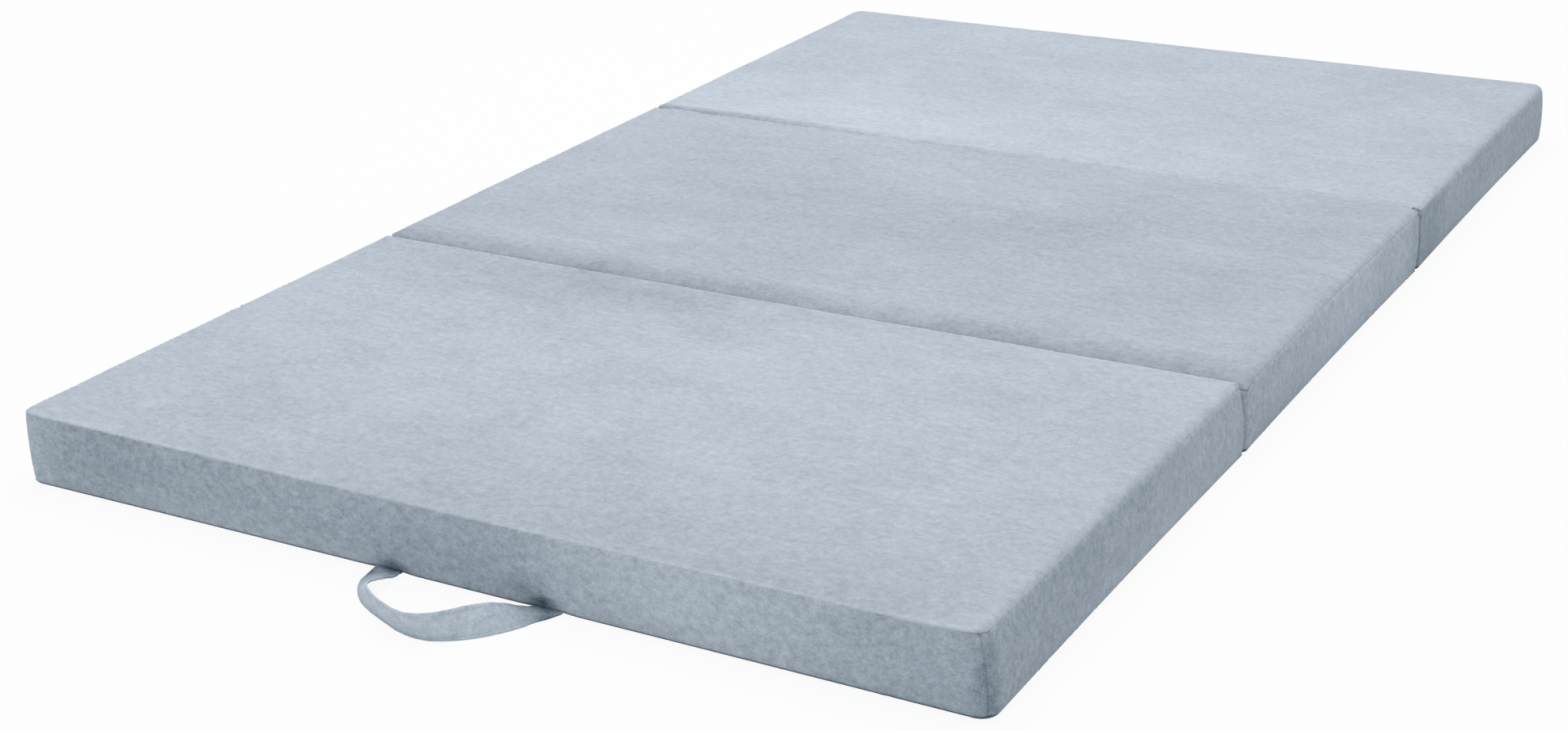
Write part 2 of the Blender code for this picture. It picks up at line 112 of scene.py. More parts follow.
def soft_box(name, place, aim, width, length, power, colour):
    """A rectangular soft light that faces the point it is aimed at."""
    lamp = bpy.data.lights.new(name, "AREA")
    lamp.shape = "RECTANGLE"
    lamp.size, lamp.size_y = width, length
    lamp.energy = power
    lamp.color = colour
    holder = bpy.data.objects.new(name, lamp)
    scene.collection.objects.link(holder)
    holder.location = place
    holder.rotation_euler = (Vector(aim) - Vector(place)).to_track_quat("-Z", "Y").to_euler()


soft_box("overhead_soft_box", (-0.3, 0.5, 3.2), (0, 0, 0), 3.2, 4.2, 96, (1, 1, 1))
soft_box("front_soft_box", (0.6, -4.2, 1.6), (0, -0.6, 0), 2.6, 1.6, 22, (1, 1, 1))

floor_reach, floor_level = 30, -0.0004
floor_corners = [(x * floor_reach, y * floor_reach, floor_level)
                 for x, y in ((-1, -1), (1, -1), (1, 1), (-1, 1))]
floor_mesh = bpy.data.meshes.new("floor")
floor_mesh.from_pydata(floor_corners, [], [(0, 1, 2, 3)])
floor = bpy.data.objects.new("floor", floor_mesh)
scene.collection.objects.link(floor)
pale_floor = bpy.data.materials.new("pale_floor")
pale_floor.use_nodes = True
floor_nodes, floor_links = pale_floor.node_tree.nodes, pale_floor.node_tree.links
floor_paint = floor_nodes["Principled BSDF"]
floor_paint.inputs["Base Color"].default_value = (0.80, 0.81, 0.82, 1)
floor_paint.inputs["Roughness"].default_value = 1
floor_paint.inputs["Specular IOR Level"].default_value = 0
floor_white = floor_nodes.new("ShaderNodeEmission")
floor_white.inputs["Strength"].default_value = 1
floor_ray = floor_nodes.new("ShaderNodeLightPath")
floor_share = floor_nodes.new("ShaderNodeMath")
floor_share.operation = "MULTIPLY"
floor_share.inputs[1].default_value = 0.93
floor_mix = floor_nodes.new("ShaderNodeMixShader")
floor_links.new(floor_ray.outputs["Is Camera Ray"], floor_share.inputs[0])
floor_links.new(floor_share.outputs[0], floor_mix.inputs[0])
floor_links.new(floor_paint.outputs[0], floor_mix.inputs[1])
floor_links.new(floor_white.outputs[0], floor_mix.inputs[2])
floor_links.new(floor_mix.outputs[0], floor_nodes["Material Output"].inputs["Surface"])
floor_mesh.materials.append(pale_floor)

# The foam blocks: one slab of open-cell foam in each section, cut square with eased edges. The
# cover is drawn over them, and each is taken out through its zip.
half_width = 0.600
height = 0.0885
crown = 0.0015
draw_in = 0.002
least_radius = 0.0015
roll_reach = 0.040
lean, lean_power, lean_fade = 0.0105, 8, 0.35
sag, sag_reach = 0.003, 0.05
peak, peak_reach = 0.003, 0.06
Block = namedtuple(
    "Block", "name low_y high_y front_radius rear_radius free_front free_rear roll edges"
)
Edges = namedtuple("Edges", "front rear right left")
blocks = (
    Block("foot", -1.0, -0.3343333, 0.022, 0.008, True, False, 0,
          Edges(0.0042, 0.0045, 0.011, 0.010)),
    Block("middle", -0.3323333, 0.3323333, 0.008, 0.008, False, False, 0.008,
          Edges(0.014, 0.006, 0.013, 0.010)),
    Block("head", 0.3343333, 1.0, 0.008, 0.022, False, True, 0,
          Edges(0.006, 0.009, 0.012, 0.010)),
)


def plan_lines(turn_steps, straight_steps):
    """Lines over a block's plan: shares of the straight middle, and of the turn at the corners."""
    bend = np.tan(radians(45) * np.arange(1, turn_steps + 1) / turn_steps)
    share = np.concatenate((-np.ones(turn_steps), np.linspace(-1, 1, straight_steps + 1),
                            np.ones(turn_steps)))
    turn = np.concatenate((-bend[::-1], np.zeros(straight_steps + 1), bend))
    return np.stack((share, turn), 1)


def on_block(block, across, along, inset, up):
    """Points where lines over the plan cross, on the outline drawn in by inset, at a height."""
    front = np.maximum(block.front_radius - inset, least_radius)
    rear = np.maximum(block.rear_radius - inset, least_radius)
    half_length = (block.high_y - block.low_y) / 2
    toward_rear = (along[..., 0] + 1) / 2
    radius = front + (rear - front) * toward_rear
    reach = np.hypot(across[..., 1], along[..., 1])
    most = np.maximum(abs(across[..., 1]), abs(along[..., 1]))
    spread = most * radius / np.maximum(reach, 1e-9)
    x = across[..., 0] * (half_width - inset - radius) + across[..., 1] * spread
    low, high = inset + front - half_length, half_length - inset - rear
    y = low + (high - low) * toward_rear + along[..., 1] * spread
    x_share, y_share = x / half_width, y / half_length
    x = x - np.where(x > 0, draw_in * x_share * (1 - y_share**2), 0)
    free = (y < 0) * block.free_front + (y > 0) * block.free_rear
    y = y - free * draw_in * y_share * (1 - x_share**2)
    nearness = np.maximum(0, 1 - (y + half_length) / roll_reach)
    roll = block.roll * nearness**2 * (1 - ((1 - x_share) / 2) ** 4)
    rise = crown * (1 - x_share**4) * (1 - y_share**4) - roll
    if block.free_front:
        from_front, from_right = y + half_length, half_width - x
        leant = lean * np.maximum(x_share, 0) ** lean_power
        leant = leant * (1 - lean_fade * from_front / half_length / 2)
        x = x - leant * (up / height) ** 2
        rise = rise - sag * (1 - x_share**2) * np.exp(-((from_front / sag_reach) ** 2))
        rise = rise + peak * np.exp(-((np.hypot(from_front, from_right) / peak_reach) ** 2))
    rise = rise * up / height
    return np.stack(np.broadcast_arrays(x, y + (block.low_y + block.high_y) / 2, up + rise), -1)


def border_of(across, along):
    """The lines that cross on the plan's border, walked anticlockwise from the near left corner."""
    pairs = [(line, along[0]) for line in across[:-1]]
    pairs += [(across[-1], line) for line in along[:-1]]
    pairs += [(line, along[-1]) for line in across[:0:-1]]
    pairs += [(across[0], line) for line in along[:0:-1]]
    return np.array([pair[0] for pair in pairs]), np.array([pair[1] for pair in pairs])


def new_piece(name, points, faces, material):
    """A smooth mesh object in the model's own frame."""
    mesh = bpy.data.meshes.new(name)
    mesh.from_pydata([tuple(point) for point in np.asarray(points, float)], [], faces)
    mesh.validate()
    mesh.shade_smooth()
    mesh.materials.append(material)
    piece = bpy.data.objects.new(name, mesh)
    scene.collection.objects.link(piece)
    return piece


def zip_rows(first, second):
    """Triangles between two rows of point numbers whose ends match, whatever their counts."""
    faces = []
    i = j = 0
    while i < len(first) - 1 or j < len(second) - 1:
        next_first = (i + 1) / (len(first) - 1)
        next_second = (j + 1) / (len(second) - 1)
        if j == len(second) - 1 or (i < len(first) - 1 and next_first <= next_second):
            faces.append((first[i], first[i + 1], second[j]))
            i += 1
        else:
            faces.append((first[i], second[j + 1], second[j]))
            j += 1
    return faces


def grid_faces(numbers):
    """Square faces between neighbours in a grid of point numbers."""
    a, b, c, d = numbers[:-1, :-1], numbers[:-1, 1:], numbers[1:, 1:], numbers[1:, :-1]
    return np.stack((a.ravel(), b.ravel(), c.ravel(), d.ravel()), 1).tolist()


def rim_of(numbers):
    """The border of a grid of point numbers, walked in the same way as the plan's."""
    return [*numbers[0, :-1], *numbers[:-1, -1], *numbers[-1, :0:-1], *numbers[:0:-1, 0]]


strap_roots, root_slants = (-0.0875, 0.1100), (-0.25, 0.35)
dent_depth, dent_wide, dent_tall = 0.0085, 0.016, 0.010
bulge_depth, bulge_wide, bulge_up, bulge_tall = 0.0024, 1.3, 0.021, 0.007


def strap_pull(x, up):
    """The dents that the strap's two sewn roots pull in the foot end, deepest at the seam."""
    dent = 0
    for root, slant in zip(strap_roots, root_slants):
        across = (x - root - slant * up) / dent_wide
        dent = dent - dent_depth * np.exp(-(across**2)) * np.exp(-((up / dent_tall) ** 2))
        bulge = bulge_depth * np.exp(-((across / bulge_wide) ** 2))
        dent = dent + bulge * np.exp(-(((up - bulge_up) / bulge_tall) ** 2))
    return dent


Finish = namedtuple("Finish", "material nodes links shader place")


def new_finish(name, sockets):
    """A new finish. What is even all over is set on the shader's own sockets."""
    material = bpy.data.materials.new(name)
    material.use_nodes = True
    nodes, links = material.node_tree.nodes, material.node_tree.links
    shader = nodes["Principled BSDF"]
    for socket, value in sockets.items():
        shader.inputs[socket].default_value = value
    place = nodes.new("ShaderNodeTexCoord").outputs["Object"]
    return Finish(material, nodes, links, shader, place)


def pattern(finish, kind, settings, out="Fac", direction=None, place=None):
    """The value of a texture over the piece."""
    texture = finish.nodes.new(kind)
    if direction:
        texture.bands_direction = direction
    for socket, value in settings.items():
        texture.inputs[socket].default_value = value
    finish.links.new(place or finish.place, texture.inputs["Vector"])
    return texture.outputs[out]


def worked_out(finish, operation, *terms):
    """What one sum makes of its terms, each a number or another node's value."""
    step = finish.nodes.new("ShaderNodeMath")
    step.operation = operation
    for socket, term in zip(step.inputs, terms):
        if isinstance(term, bpy.types.NodeSocket):
            finish.links.new(term, socket)
        else:
            socket.default_value = term
    return step.outputs[0]


def tinted(finish, value, dark, light, full=1.0):
    """Colours a finish from dark to light by a value, which is fully light from a point on."""
    tint = finish.nodes.new("ShaderNodeValToRGB")
    tint.color_ramp.elements[0].color = (*dark, 1)
    tint.color_ramp.elements[1].color = (*light, 1)
    tint.color_ramp.elements[1].position = full
    finish.links.new(value, tint.inputs["Fac"])
    finish.links.new(tint.outputs["Color"], finish.shader.inputs["Base Color"])


def raised(finish, value, strength, distance):
    """Gives a finish a fine relief that follows a value."""
    relief = finish.nodes.new("ShaderNodeBump")
    relief.inputs["Strength"].default_value = strength
    relief.inputs["Distance"].default_value = distance
    finish.links.new(value, relief.inputs["Height"])
    finish.links.new(relief.outputs["Normal"], finish.shader.inputs["Normal"])


foam = new_finish("open_cell_foam", {"Roughness": 0.95})
foam_cells = pattern(foam, "ShaderNodeTexVoronoi", {"Scale": 900}, "Distance")
tinted(foam, foam_cells, (0.62, 0.58, 0.46), (0.84, 0.81, 0.70), 0.5)
raised(foam, foam_cells, 0.5, 0.0006)


def closed_form(block, across, along, rings):
    """A closed skin over a block: a grid on top, rings of an inset and a height, a flat floor."""
    border = border_of(across, along)
    points = [on_block(block, across[None], along[:, None], *rings[0]).reshape(-1, 3)]
    top = np.arange(len(across) * len(along)).reshape(len(along), len(across))
    faces = grid_faces(top)
    last, count = rim_of(top), top.size
    for inset, up in rings[1:]:
        points.append(on_block(block, *border, inset, up))
        ring = list(range(count, count + len(last)))
        faces += [(ring[k], ring[(k + 1) % len(ring)], last[(k + 1) % len(ring)], last[k])
                  for k in range(len(ring))]
        last, count = ring, count + len(ring)
    return np.concatenate(points), faces + [tuple(reversed(last))]


foam_side, foam_top, foam_floor, foam_ease = 0.0046, 0.0862, 0.0018, 0.0130
foam_rings = []
for turn in np.radians((0, 22.5, 45, 67.5, 90)):
    foam_rings.append((foam_side + foam_ease * (1 - sin(turn)),
                       foam_top - foam_ease * (1 - cos(turn))))
foam_rings += [(inset, foam_top + foam_floor - up) for inset, up in reversed(foam_rings)]
foam_across, foam_along = plan_lines(4, 144), plan_lines(4, 40)
dented_end, dent_drop = 0.015, 0.004
for block in blocks:
    points, faces = closed_form(block, foam_across, foam_along, foam_rings)
    if block.free_front:
        front = points[:, 1] < block.low_y + dented_end
        dent = np.minimum(strap_pull(points[:, 0], points[:, 2] - dent_drop), 0)
        points[:, 1] -= np.where(front, dent, 0)
    foam_block = new_piece(f"{block.name}_foam_block", points, faces, foam.material)
    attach(foam_block, f"{block.name}_section")
    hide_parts(f"{block.name}_foam_core")

# The velour: a knitted cloth with a short brushed pile. The pile lies unevenly, so it shows cloudy
# lighter and darker patches and faint streaks across the width, and its edge fibres catch light in
# its sheen. Soft patches also paint highlights, shade and some tone into its colour.
def velour_cloth(name, tone, light, dark, pile, tone_and_light_patches):
    """Velour between two colours. The pile weighs its mottle, streaks and grain."""
    cloth = new_finish(name, {
        "Roughness": 0.92,
        "Specular IOR Level": 0.25,
        "Sheen Weight": 0.22,
        "Sheen Roughness": 0.45,
        "Sheen Tint": (0.86, 0.93, 1.0, 1),
    })
    nodes, links = cloth.nodes, cloth.links

    def patches(scale, size, detail, warp, rough):
        lay = nodes.new("ShaderNodeMapping")
        lay.inputs["Scale"].default_value = scale
        links.new(cloth.place, lay.inputs["Vector"])
        settings = {"Scale": size, "Detail": detail, "Distortion": warp, "Roughness": rough}
        return pattern(cloth, "ShaderNodeTexNoise", settings, place=lay.outputs["Vector"])

    def weighed(values, weights):
        total = None
        for value, weight in zip(values, weights):
            part = worked_out(cloth, "MULTIPLY_ADD", value, weight, -weight / 2)
            total = part if total is None else worked_out(cloth, "ADD", total, part)
        return total

    clouds = patches((1, 1.5, 1.5), 4.5, 3, 0.6, 0.55)
    mottle = patches((0.62, 1, 1), 9, 8, 0.15, 0.93)
    brushed = patches((0.12, 1, 1), 60, 5, 0.3, 0.8)
    grain = patches((0.8, 1, 1), 110, 5, 0.0, 0.97)
    shade = weighed((clouds, mottle, brushed, grain), (0.4, *pile))
    # Each patch lightens or darkens the colour in a soft sphere: painted light, painted shade, and
    # a few broad patches of the pile's tone.
    for tone_and_light_patch in tone_and_light_patches:
        lay = nodes.new("ShaderNodeMapping")
        lay.vector_type = "TEXTURE"
        lay.inputs["Location"].default_value = tone_and_light_patch.centre
        lay.inputs["Scale"].default_value = tone_and_light_patch.reach
        spread = nodes.new("ShaderNodeTexGradient")
        spread.gradient_type = "SPHERICAL"
        links.new(cloth.place, lay.inputs["Vector"])
        links.new(lay.outputs["Vector"], spread.inputs["Vector"])
        shade = worked_out(cloth, "MULTIPLY_ADD", spread.outputs["Fac"], tone_and_light_patch.amount, shade)
    tint = nodes.new("ShaderNodeMix")
    tint.data_type = "RGBA"
    tint.clamp_factor = False
    tint.inputs["A"].default_value = (*(tone * share for share in dark), 1)
    tint.inputs["B"].default_value = (*(tone * share for share in light), 1)
    links.new(worked_out(cloth, "ADD", shade, 0.5), tint.inputs["Factor"])
    links.new(tint.outputs["Result"], cloth.shader.inputs["Base Color"])
    raised(cloth, weighed((mottle, brushed, grain), (0.9, 0.4, 0.7)), 0.3, 0.0012)
    return cloth.material


# Each top panel is cut by itself, so its pile leans its own way and reads lighter or darker.
# Painted shade darkens the panels along both creases and by the strap end. Painted highlights light
# thin bands along the foot's edges and the middle's rolled front edge. Broad patches make the
# middle darker and the head lighter.
ToneAndLightPatch = namedtuple("ToneAndLightPatch", "centre reach amount")
panel_tone_and_light_patches = {
    "foot": (
        ToneAndLightPatch((0.15, -0.97, 0.09), (0.80, 0.20, 1), -0.30),
        ToneAndLightPatch((0, -0.3365, 0.088), (6, 0.006, 1), 0.8),
        ToneAndLightPatch((-0.25, -0.38, 0.09), (0.60, 0.13, 1), -0.50),
        ToneAndLightPatch((0, -0.998, 0.0885), (6, 0.009, 1), 0.35),
    ),
    "middle": (
        ToneAndLightPatch((0.15, 0.0, 0.09), (1.2, 0.42, 1), -0.30),
        ToneAndLightPatch((0, -0.332, 0.088), (4, 0.058, 1), -0.75),
        ToneAndLightPatch((0, -0.332, 0.080), (4, 0.016, 0.016), 0.55),
    ),
    "head": (
        ToneAndLightPatch((-0.3, 0.40, 0.09), (0.70, 0.20, 1), 0.35),
        ToneAndLightPatch((-0.55, 0.342, 0.088), (0.45, 0.014, 1), -1.1),
    ),
}
panel_tones = {"foot": 1.0, "middle": 0.955, "head": 1.0}
top_light, top_dark = (0.56, 0.610, 0.672), (0.385, 0.430, 0.489)
top_pile = (1.8, 0.5, 3.1)
velour_tops = {
    name: velour_cloth(f"brushed_velour_{name}", panel_tones[name], top_light, top_dark,
                       top_pile, tone_and_light_patches)
    for name, tone_and_light_patches in panel_tone_and_light_patches.items()
}

# The strips' colour carries painted light and shade. It is lighter on the front, the long side and
# low down, where the floor lights them. It is darker at the near right corner, under the top seam,
# at the second crease, round the strap's roots and along the bottom edge.
side_painted_light_and_shade = (
    ToneAndLightPatch((0.28, -1.0, 0.045), (0.26, 0.2, 0.3), 0.7),
    ToneAndLightPatch((0.6, 0.05, 0.045), (0.2, 0.36, 0.3), 0.75),
    ToneAndLightPatch((0.6, -0.45, 0.045), (0.2, 0.32, 0.3), 0.3),
    ToneAndLightPatch((0.5945, -0.9945, 0.030), (0.022, 0.022, 0.09), -1.1),
    ToneAndLightPatch((0.0, -1.09, 0.02), (0.24, 0.085, 0.07), 1.3),
    ToneAndLightPatch((0.6, -0.62, 0.006), (0.08, 0.36, 0.034), 0.55),
    ToneAndLightPatch((0.595, -0.66, 0.082), (0.05, 0.40, 0.034), -0.2),
    ToneAndLightPatch((0.6, 0.365, 0.045), (0.1, 0.10, 0.2), -0.7),
    ToneAndLightPatch((0.6, 0.26, 0.045), (0.1, 0.09, 0.2), 0.35),
    ToneAndLightPatch((0.6, 0.72, 0.006), (0.08, 0.34, 0.034), 0.6),
    ToneAndLightPatch((-0.6, -1.0, 0.05), (0.05, 0.05, 0.12), 0.65),
    ToneAndLightPatch((-0.47, -1.0, 0.045), (0.1, 0.1, 0.2), -0.3),
    ToneAndLightPatch((-0.36, -1.0, 0.006), (0.42, 0.1, 0.032), 0.5),
    ToneAndLightPatch((-0.080, -0.991, 0.007), (0.026, 0.016, 0.013), -2.6),
    ToneAndLightPatch((0.106, -0.991, 0.009), (0.022, 0.016, 0.013), -2.3),
    ToneAndLightPatch((0.090, -1.0, 0.020), (0.036, 0.03, 0.030), -0.7),
    ToneAndLightPatch((0, -1.0, 0), (6, 0.03, 0.006), -3.0),
)
velour_side = velour_cloth("brushed_velour_side", 1, (0.50, 0.566, 0.634), (0.33, 0.391, 0.452),
                           (0.75, 0.2, 5.0), side_painted_light_and_shade)

# The cover: velour top and boxing strips, sewn together with plain seams just under the top edge.
# The seams gather the cloth a little, most along the long sides, and every seam sinks into a line.
cloth_thickness = 0.0012
side_swell = 0.0015
top_radius, bottom_radius = 0.010, 0.008
top_seam, bottom_seam = radians(54), radians(60)
seam_gap = 0.00001
side_low, side_high = bottom_radius, height - top_radius
side_middle, side_half = (side_low + side_high) / 2, (side_high - side_low) / 2
seam_inset = side_swell + top_radius * (1 - sin(top_seam))


def soft_noise(first, second, size, seed):
    """Smooth random heights from -1 to 1 over a plane, with features of about this size."""
    many = 61
    knots = np.random.default_rng(seed).uniform(-1, 1, (many, many))
    a, b = np.asarray(first) / size, np.asarray(second) / size
    i, j = np.floor(a).astype(int), np.floor(b).astype(int)
    u, v = a - i, b - j
    u, v = u * u * (3 - 2 * u), v * v * (3 - 2 * v)
    i, j, i1, j1 = i % many, j % many, (i + 1) % many, (j + 1) % many
    low = knots[i, j] * (1 - u) + knots[i1, j] * u
    high = knots[i, j1] * (1 - u) + knots[i1, j1] * u
    return low * (1 - v) + high * v


def edge_rolls(block, across, along):
    """Radius of the top's rolled edge where lines cross on the border: each side has its own."""
    side = np.where(across[:, 0] > 0, block.edges.right, block.edges.left)
    end = np.where(along[:, 0] > 0, block.edges.rear, block.edges.front)
    side_share, end_share = across[:, 1] ** 2, along[:, 1] ** 2
    return (side_share * side + end_share * end) / (side_share + end_share)


def top_edge(angle, depth=0, roll=top_radius):
    """Inset, height, and the level and upright way out, on the upper edge at an angle down it."""
    radius = roll - depth
    return (side_swell + roll - radius * np.sin(angle), height - roll + radius * np.cos(angle),
            np.sin(angle), np.cos(angle))


def side_face(share, depth, roll):
    """The same on the side, from -1 where the lower edge begins to 1 where the upper one does."""
    return (side_swell * share**2 + depth,
            (side_low + height - roll) / 2 + share * (height - roll - side_low) / 2,
            np.ones_like(share), np.zeros_like(share))


def bottom_edge(angle, depth=0, _roll=None):
    """The same on the lower edge, whose radius doesn't change with the upper edge's roll."""
    radius = bottom_radius - depth
    return (side_swell + bottom_radius - radius * np.sin(angle), side_low - radius * np.cos(angle),
            np.sin(angle), -np.cos(angle))


def outward(across, along):
    """The level direction that faces out of the plan's border there."""
    x = np.where(across[:, 1] != 0, across[:, 1], 0.0)
    y = np.where(along[:, 1] != 0, along[:, 1], 0.0)
    edge_x = (abs(across[:, 1]) >= abs(along[:, 1])) * np.sign(across[:, 0])
    edge_y = (abs(along[:, 1]) >= abs(across[:, 1])) * np.sign(along[:, 0])
    corner = (x != 0) & (y != 0)
    x = np.where(corner, x, edge_x * (abs(across[:, 1]) == 1))
    y = np.where(corner, y, edge_y * (abs(along[:, 1]) == 1))
    length = np.maximum(np.hypot(x, y), 1e-9)
    return np.stack((x / length, y / length), 1)


Seam = namedtuple("Seam", "strength pitch reach slant")
gathers = {
    "front": Seam(0.00020, 0.0125, 0.010, 0.7),
    "rear": Seam(0.00020, 0.0125, 0.010, 0.5),
    "right": Seam(0.00040, 0.0100, 0.009, 0.35),
    "left": Seam(0.00040, 0.0100, 0.009, 0.35),
}
seeds = {"foot": 11, "middle": 23, "head": 37, "front": 1, "right": 2, "rear": 3, "left": 4}
drift, drift_size = 1.3, 0.025
least_gather, gather_change, gather_size = 0.45, 0.55, 0.045
tuft_share, tuft_size = 1.6, 0.021
finer_share, finer_pitch, finer_start = 0.5, 0.57, 1.3
gather_fade = 1.3


def gather(block, side, run, away, edge="top"):
    """How far the cloth stands out beside a seam that gathers it, at a distance from the seam."""
    seam = gathers[side]
    seed = seeds[block.name] * 10 + seeds[side] + (500 if edge == "low" else 0)
    leant = run + seam.slant * away
    leant = leant + drift * seam.pitch * soft_noise(run, 0 * run, drift_size, seed)
    strength = least_gather + gather_change * soft_noise(run, 0 * run, gather_size, seed + 1)
    tufts = np.maximum(soft_noise(run, 0 * run, tuft_size, seed + 2), 0) ** 2
    wave = np.sin(2 * pi * leant / seam.pitch)
    finer = np.sin(2 * pi * leant / (seam.pitch * finer_pitch) + finer_start)
    wave = wave + finer_share * finer
    fade = np.exp(-((np.maximum(away, 0) / seam.reach) ** gather_fade))
    return seam.strength * (strength + tuft_share * tufts) * wave * fade


def seam_relief(block, x, y, edge, inset):
    """How far the cloth stands out near the seam round one edge of a block."""
    away = {"front": y - block.low_y, "rear": block.high_y - y,
            "right": half_width - x, "left": half_width + x}
    return sum(
        gather(block, side, x if side in ("front", "rear") else y, distance - inset, edge)
        for side, distance in away.items()
    )


Pleat = namedtuple("Pleat", "x y turn length rise")
pleats = {
    "foot": (
        Pleat(0.43, -0.972, 62, 0.016, 0.0007), Pleat(0.452, -0.968, 50, 0.012, -0.0006),
        Pleat(0.36, -0.975, 70, 0.013, 0.0006), Pleat(0.27, -0.970, 118, 0.015, 0.0007),
        Pleat(0.262, -0.968, 112, 0.012, -0.0005), Pleat(0.14, -0.975, 80, 0.013, 0.0006),
        Pleat(-0.02, -0.972, 65, 0.014, 0.0006), Pleat(-0.21, -0.970, 105, 0.015, 0.0007),
        Pleat(-0.45, -0.972, 75, 0.013, 0.0006), Pleat(0.572, -0.86, 20, 0.014, 0.0007),
        Pleat(0.575, -0.78, 155, 0.012, 0.0006), Pleat(0.570, -0.63, 12, 0.016, 0.0008),
        Pleat(0.573, -0.622, 18, 0.012, -0.0006), Pleat(0.575, -0.52, 160, 0.013, 0.0006),
        Pleat(0.572, -0.41, 30, 0.013, 0.0006),
    ),
    "middle": (
        Pleat(0.24, -0.312, 60, 0.012, 0.0006), Pleat(0.03, -0.310, 80, 0.012, 0.0006),
        Pleat(0.575, -0.28, 25, 0.016, 0.0009), Pleat(0.570, -0.265, 35, 0.012, -0.0006),
        Pleat(0.573, -0.12, 160, 0.013, 0.0006), Pleat(0.574, 0.08, 15, 0.012, 0.0006),
        Pleat(0.572, 0.22, 150, 0.013, 0.0006), Pleat(-0.30, -0.312, 70, 0.012, 0.0006),
    ),
    "head": (
        Pleat(0.574, 0.42, 20, 0.013, 0.0006), Pleat(0.573, 0.55, 155, 0.013, 0.0006),
        Pleat(0.575, 0.76, 20, 0.013, 0.0006), Pleat(0.10, 0.355, 85, 0.012, 0.0005),
        Pleat(-0.33, 0.352, 70, 0.012, 0.0006),
    ),
}


def face_outward(piece):
    """Turn the faces of a closed piece outward."""
    bm = bmesh.new()
    bm.from_mesh(piece.data)
    bmesh.ops.recalc_face_normals(bm, faces=bm.faces)
    bm.to_mesh(piece.data)
    bm.free()


settle_voxel, settle_pressure, settle_slack = 0.012, 0.4, 0.004
settle_frames, settle_most = 12, 0.0015
settle_seam, settle_floor, settle_hold = 0.004, 0.003, 0.6 * settle_voxel
settle_near, settle_close = 4, 0.002


def settled_cover(block):
    """Points of a section's cover, and how far each moves as cloth, held at its seams and floor."""
    turns = np.radians((0, 30, 60, 90))
    rings = [(side_swell + top_radius * (1 - sin(turn)), height - top_radius * (1 - cos(turn)))
             for turn in turns]
    rings += [(side_swell + bottom_radius * (1 - sin(turn)), bottom_radius * (1 - cos(turn)))
              for turn in turns[::-1]]
    points, faces = closed_form(block, plan_lines(2, 60), plan_lines(2, 34), rings)
    cover = new_piece("settling_cover", points, faces, foam.material)
    face_outward(cover)
    even = cover.modifiers.new("even", "REMESH")
    even.mode, even.voxel_size = "VOXEL", settle_voxel
    evaluated = cover.evaluated_get(bpy.context.evaluated_depsgraph_get())
    even_mesh = bpy.data.meshes.new_from_object(evaluated)
    cover.modifiers.remove(even)
    cover.data = even_mesh
    start = np.empty(len(even_mesh.vertices) * 3)
    even_mesh.vertices.foreach_get("co", start)
    start = start.reshape(-1, 3)
    x, y, up = start.T
    from_side = np.minimum(half_width - abs(x), np.minimum(y - block.low_y, block.high_y - y))
    near = from_side < settle_seam + settle_hold
    seams = abs(up - height + settle_seam), abs(up - settle_seam)
    seams = near & (np.minimum(*seams) < settle_hold)
    held = cover.vertex_groups.new(name="held")
    held.add(np.nonzero(seams | (up < settle_floor))[0].tolist(), 1, "REPLACE")
    cloth = cover.modifiers.new("cloth", "CLOTH")
    cloth.settings.vertex_group_mass = "held"
    cloth.settings.use_pressure = True
    cloth.settings.uniform_pressure_force = settle_pressure
    cloth.settings.shrink_min = -settle_slack
    cloth.settings.effector_weights.gravity = 0
    cloth.collision_settings.use_collision = False
    cloth.point_cache.frame_start, cloth.point_cache.frame_end = 1, settle_frames
    for frame_number in range(1, settle_frames + 1):
        scene.frame_set(frame_number)
    evaluated = cover.evaluated_get(bpy.context.evaluated_depsgraph_get())
    end = np.empty(start.size)
    evaluated.data.vertices.foreach_get("co", end)
    cover.modifiers.remove(cloth)
    bpy.data.objects.remove(cover)
    scene.frame_set(1)
    move = settle_most * np.tanh((end.reshape(-1, 3) - start) / settle_most)
    return start, move


def settled_grid(start, move, corner, first, second, size, way):
    """The cover's move along one way, at the crossings of a grid laid over one of its faces."""
    tree = KDTree(len(start))
    for number, point in enumerate(start):
        tree.insert(point, number)
    tree.balance()
    grid = np.zeros(size)
    for i in range(size[0]):
        for j in range(size[1]):
            point = Vector(corner) + Vector(first) * i + Vector(second) * j
            near = tree.find_n(point, settle_near)
            weights = [1 / (distance + settle_close) for _, _, distance in near]
            grid[i, j] = sum(weight * move[number].dot(way)
                             for weight, (_, number, _) in zip(weights, near)) / sum(weights)
    return grid


def on_grid(grid, first, second):
    """Smooth values between a grid's crossings, at places counted in its steps."""
    value = 0
    i, j = np.floor(first).astype(int), np.floor(second).astype(int)
    parts = []
    for u in (first - i, second - j):
        parts.append(((1 - u) ** 3 / 6, (3 * u**3 - 6 * u**2 + 4) / 6,
                      (-3 * u**3 + 3 * u**2 + 3 * u + 1) / 6, u**3 / 6))
    for a in range(4):
        for b in range(4):
            row = np.clip(i + a - 1, 0, grid.shape[0] - 1)
            column = np.clip(j + b - 1, 0, grid.shape[1] - 1)
            value = value + parts[0][a] * parts[1][b] * grid[row, column]
    return value


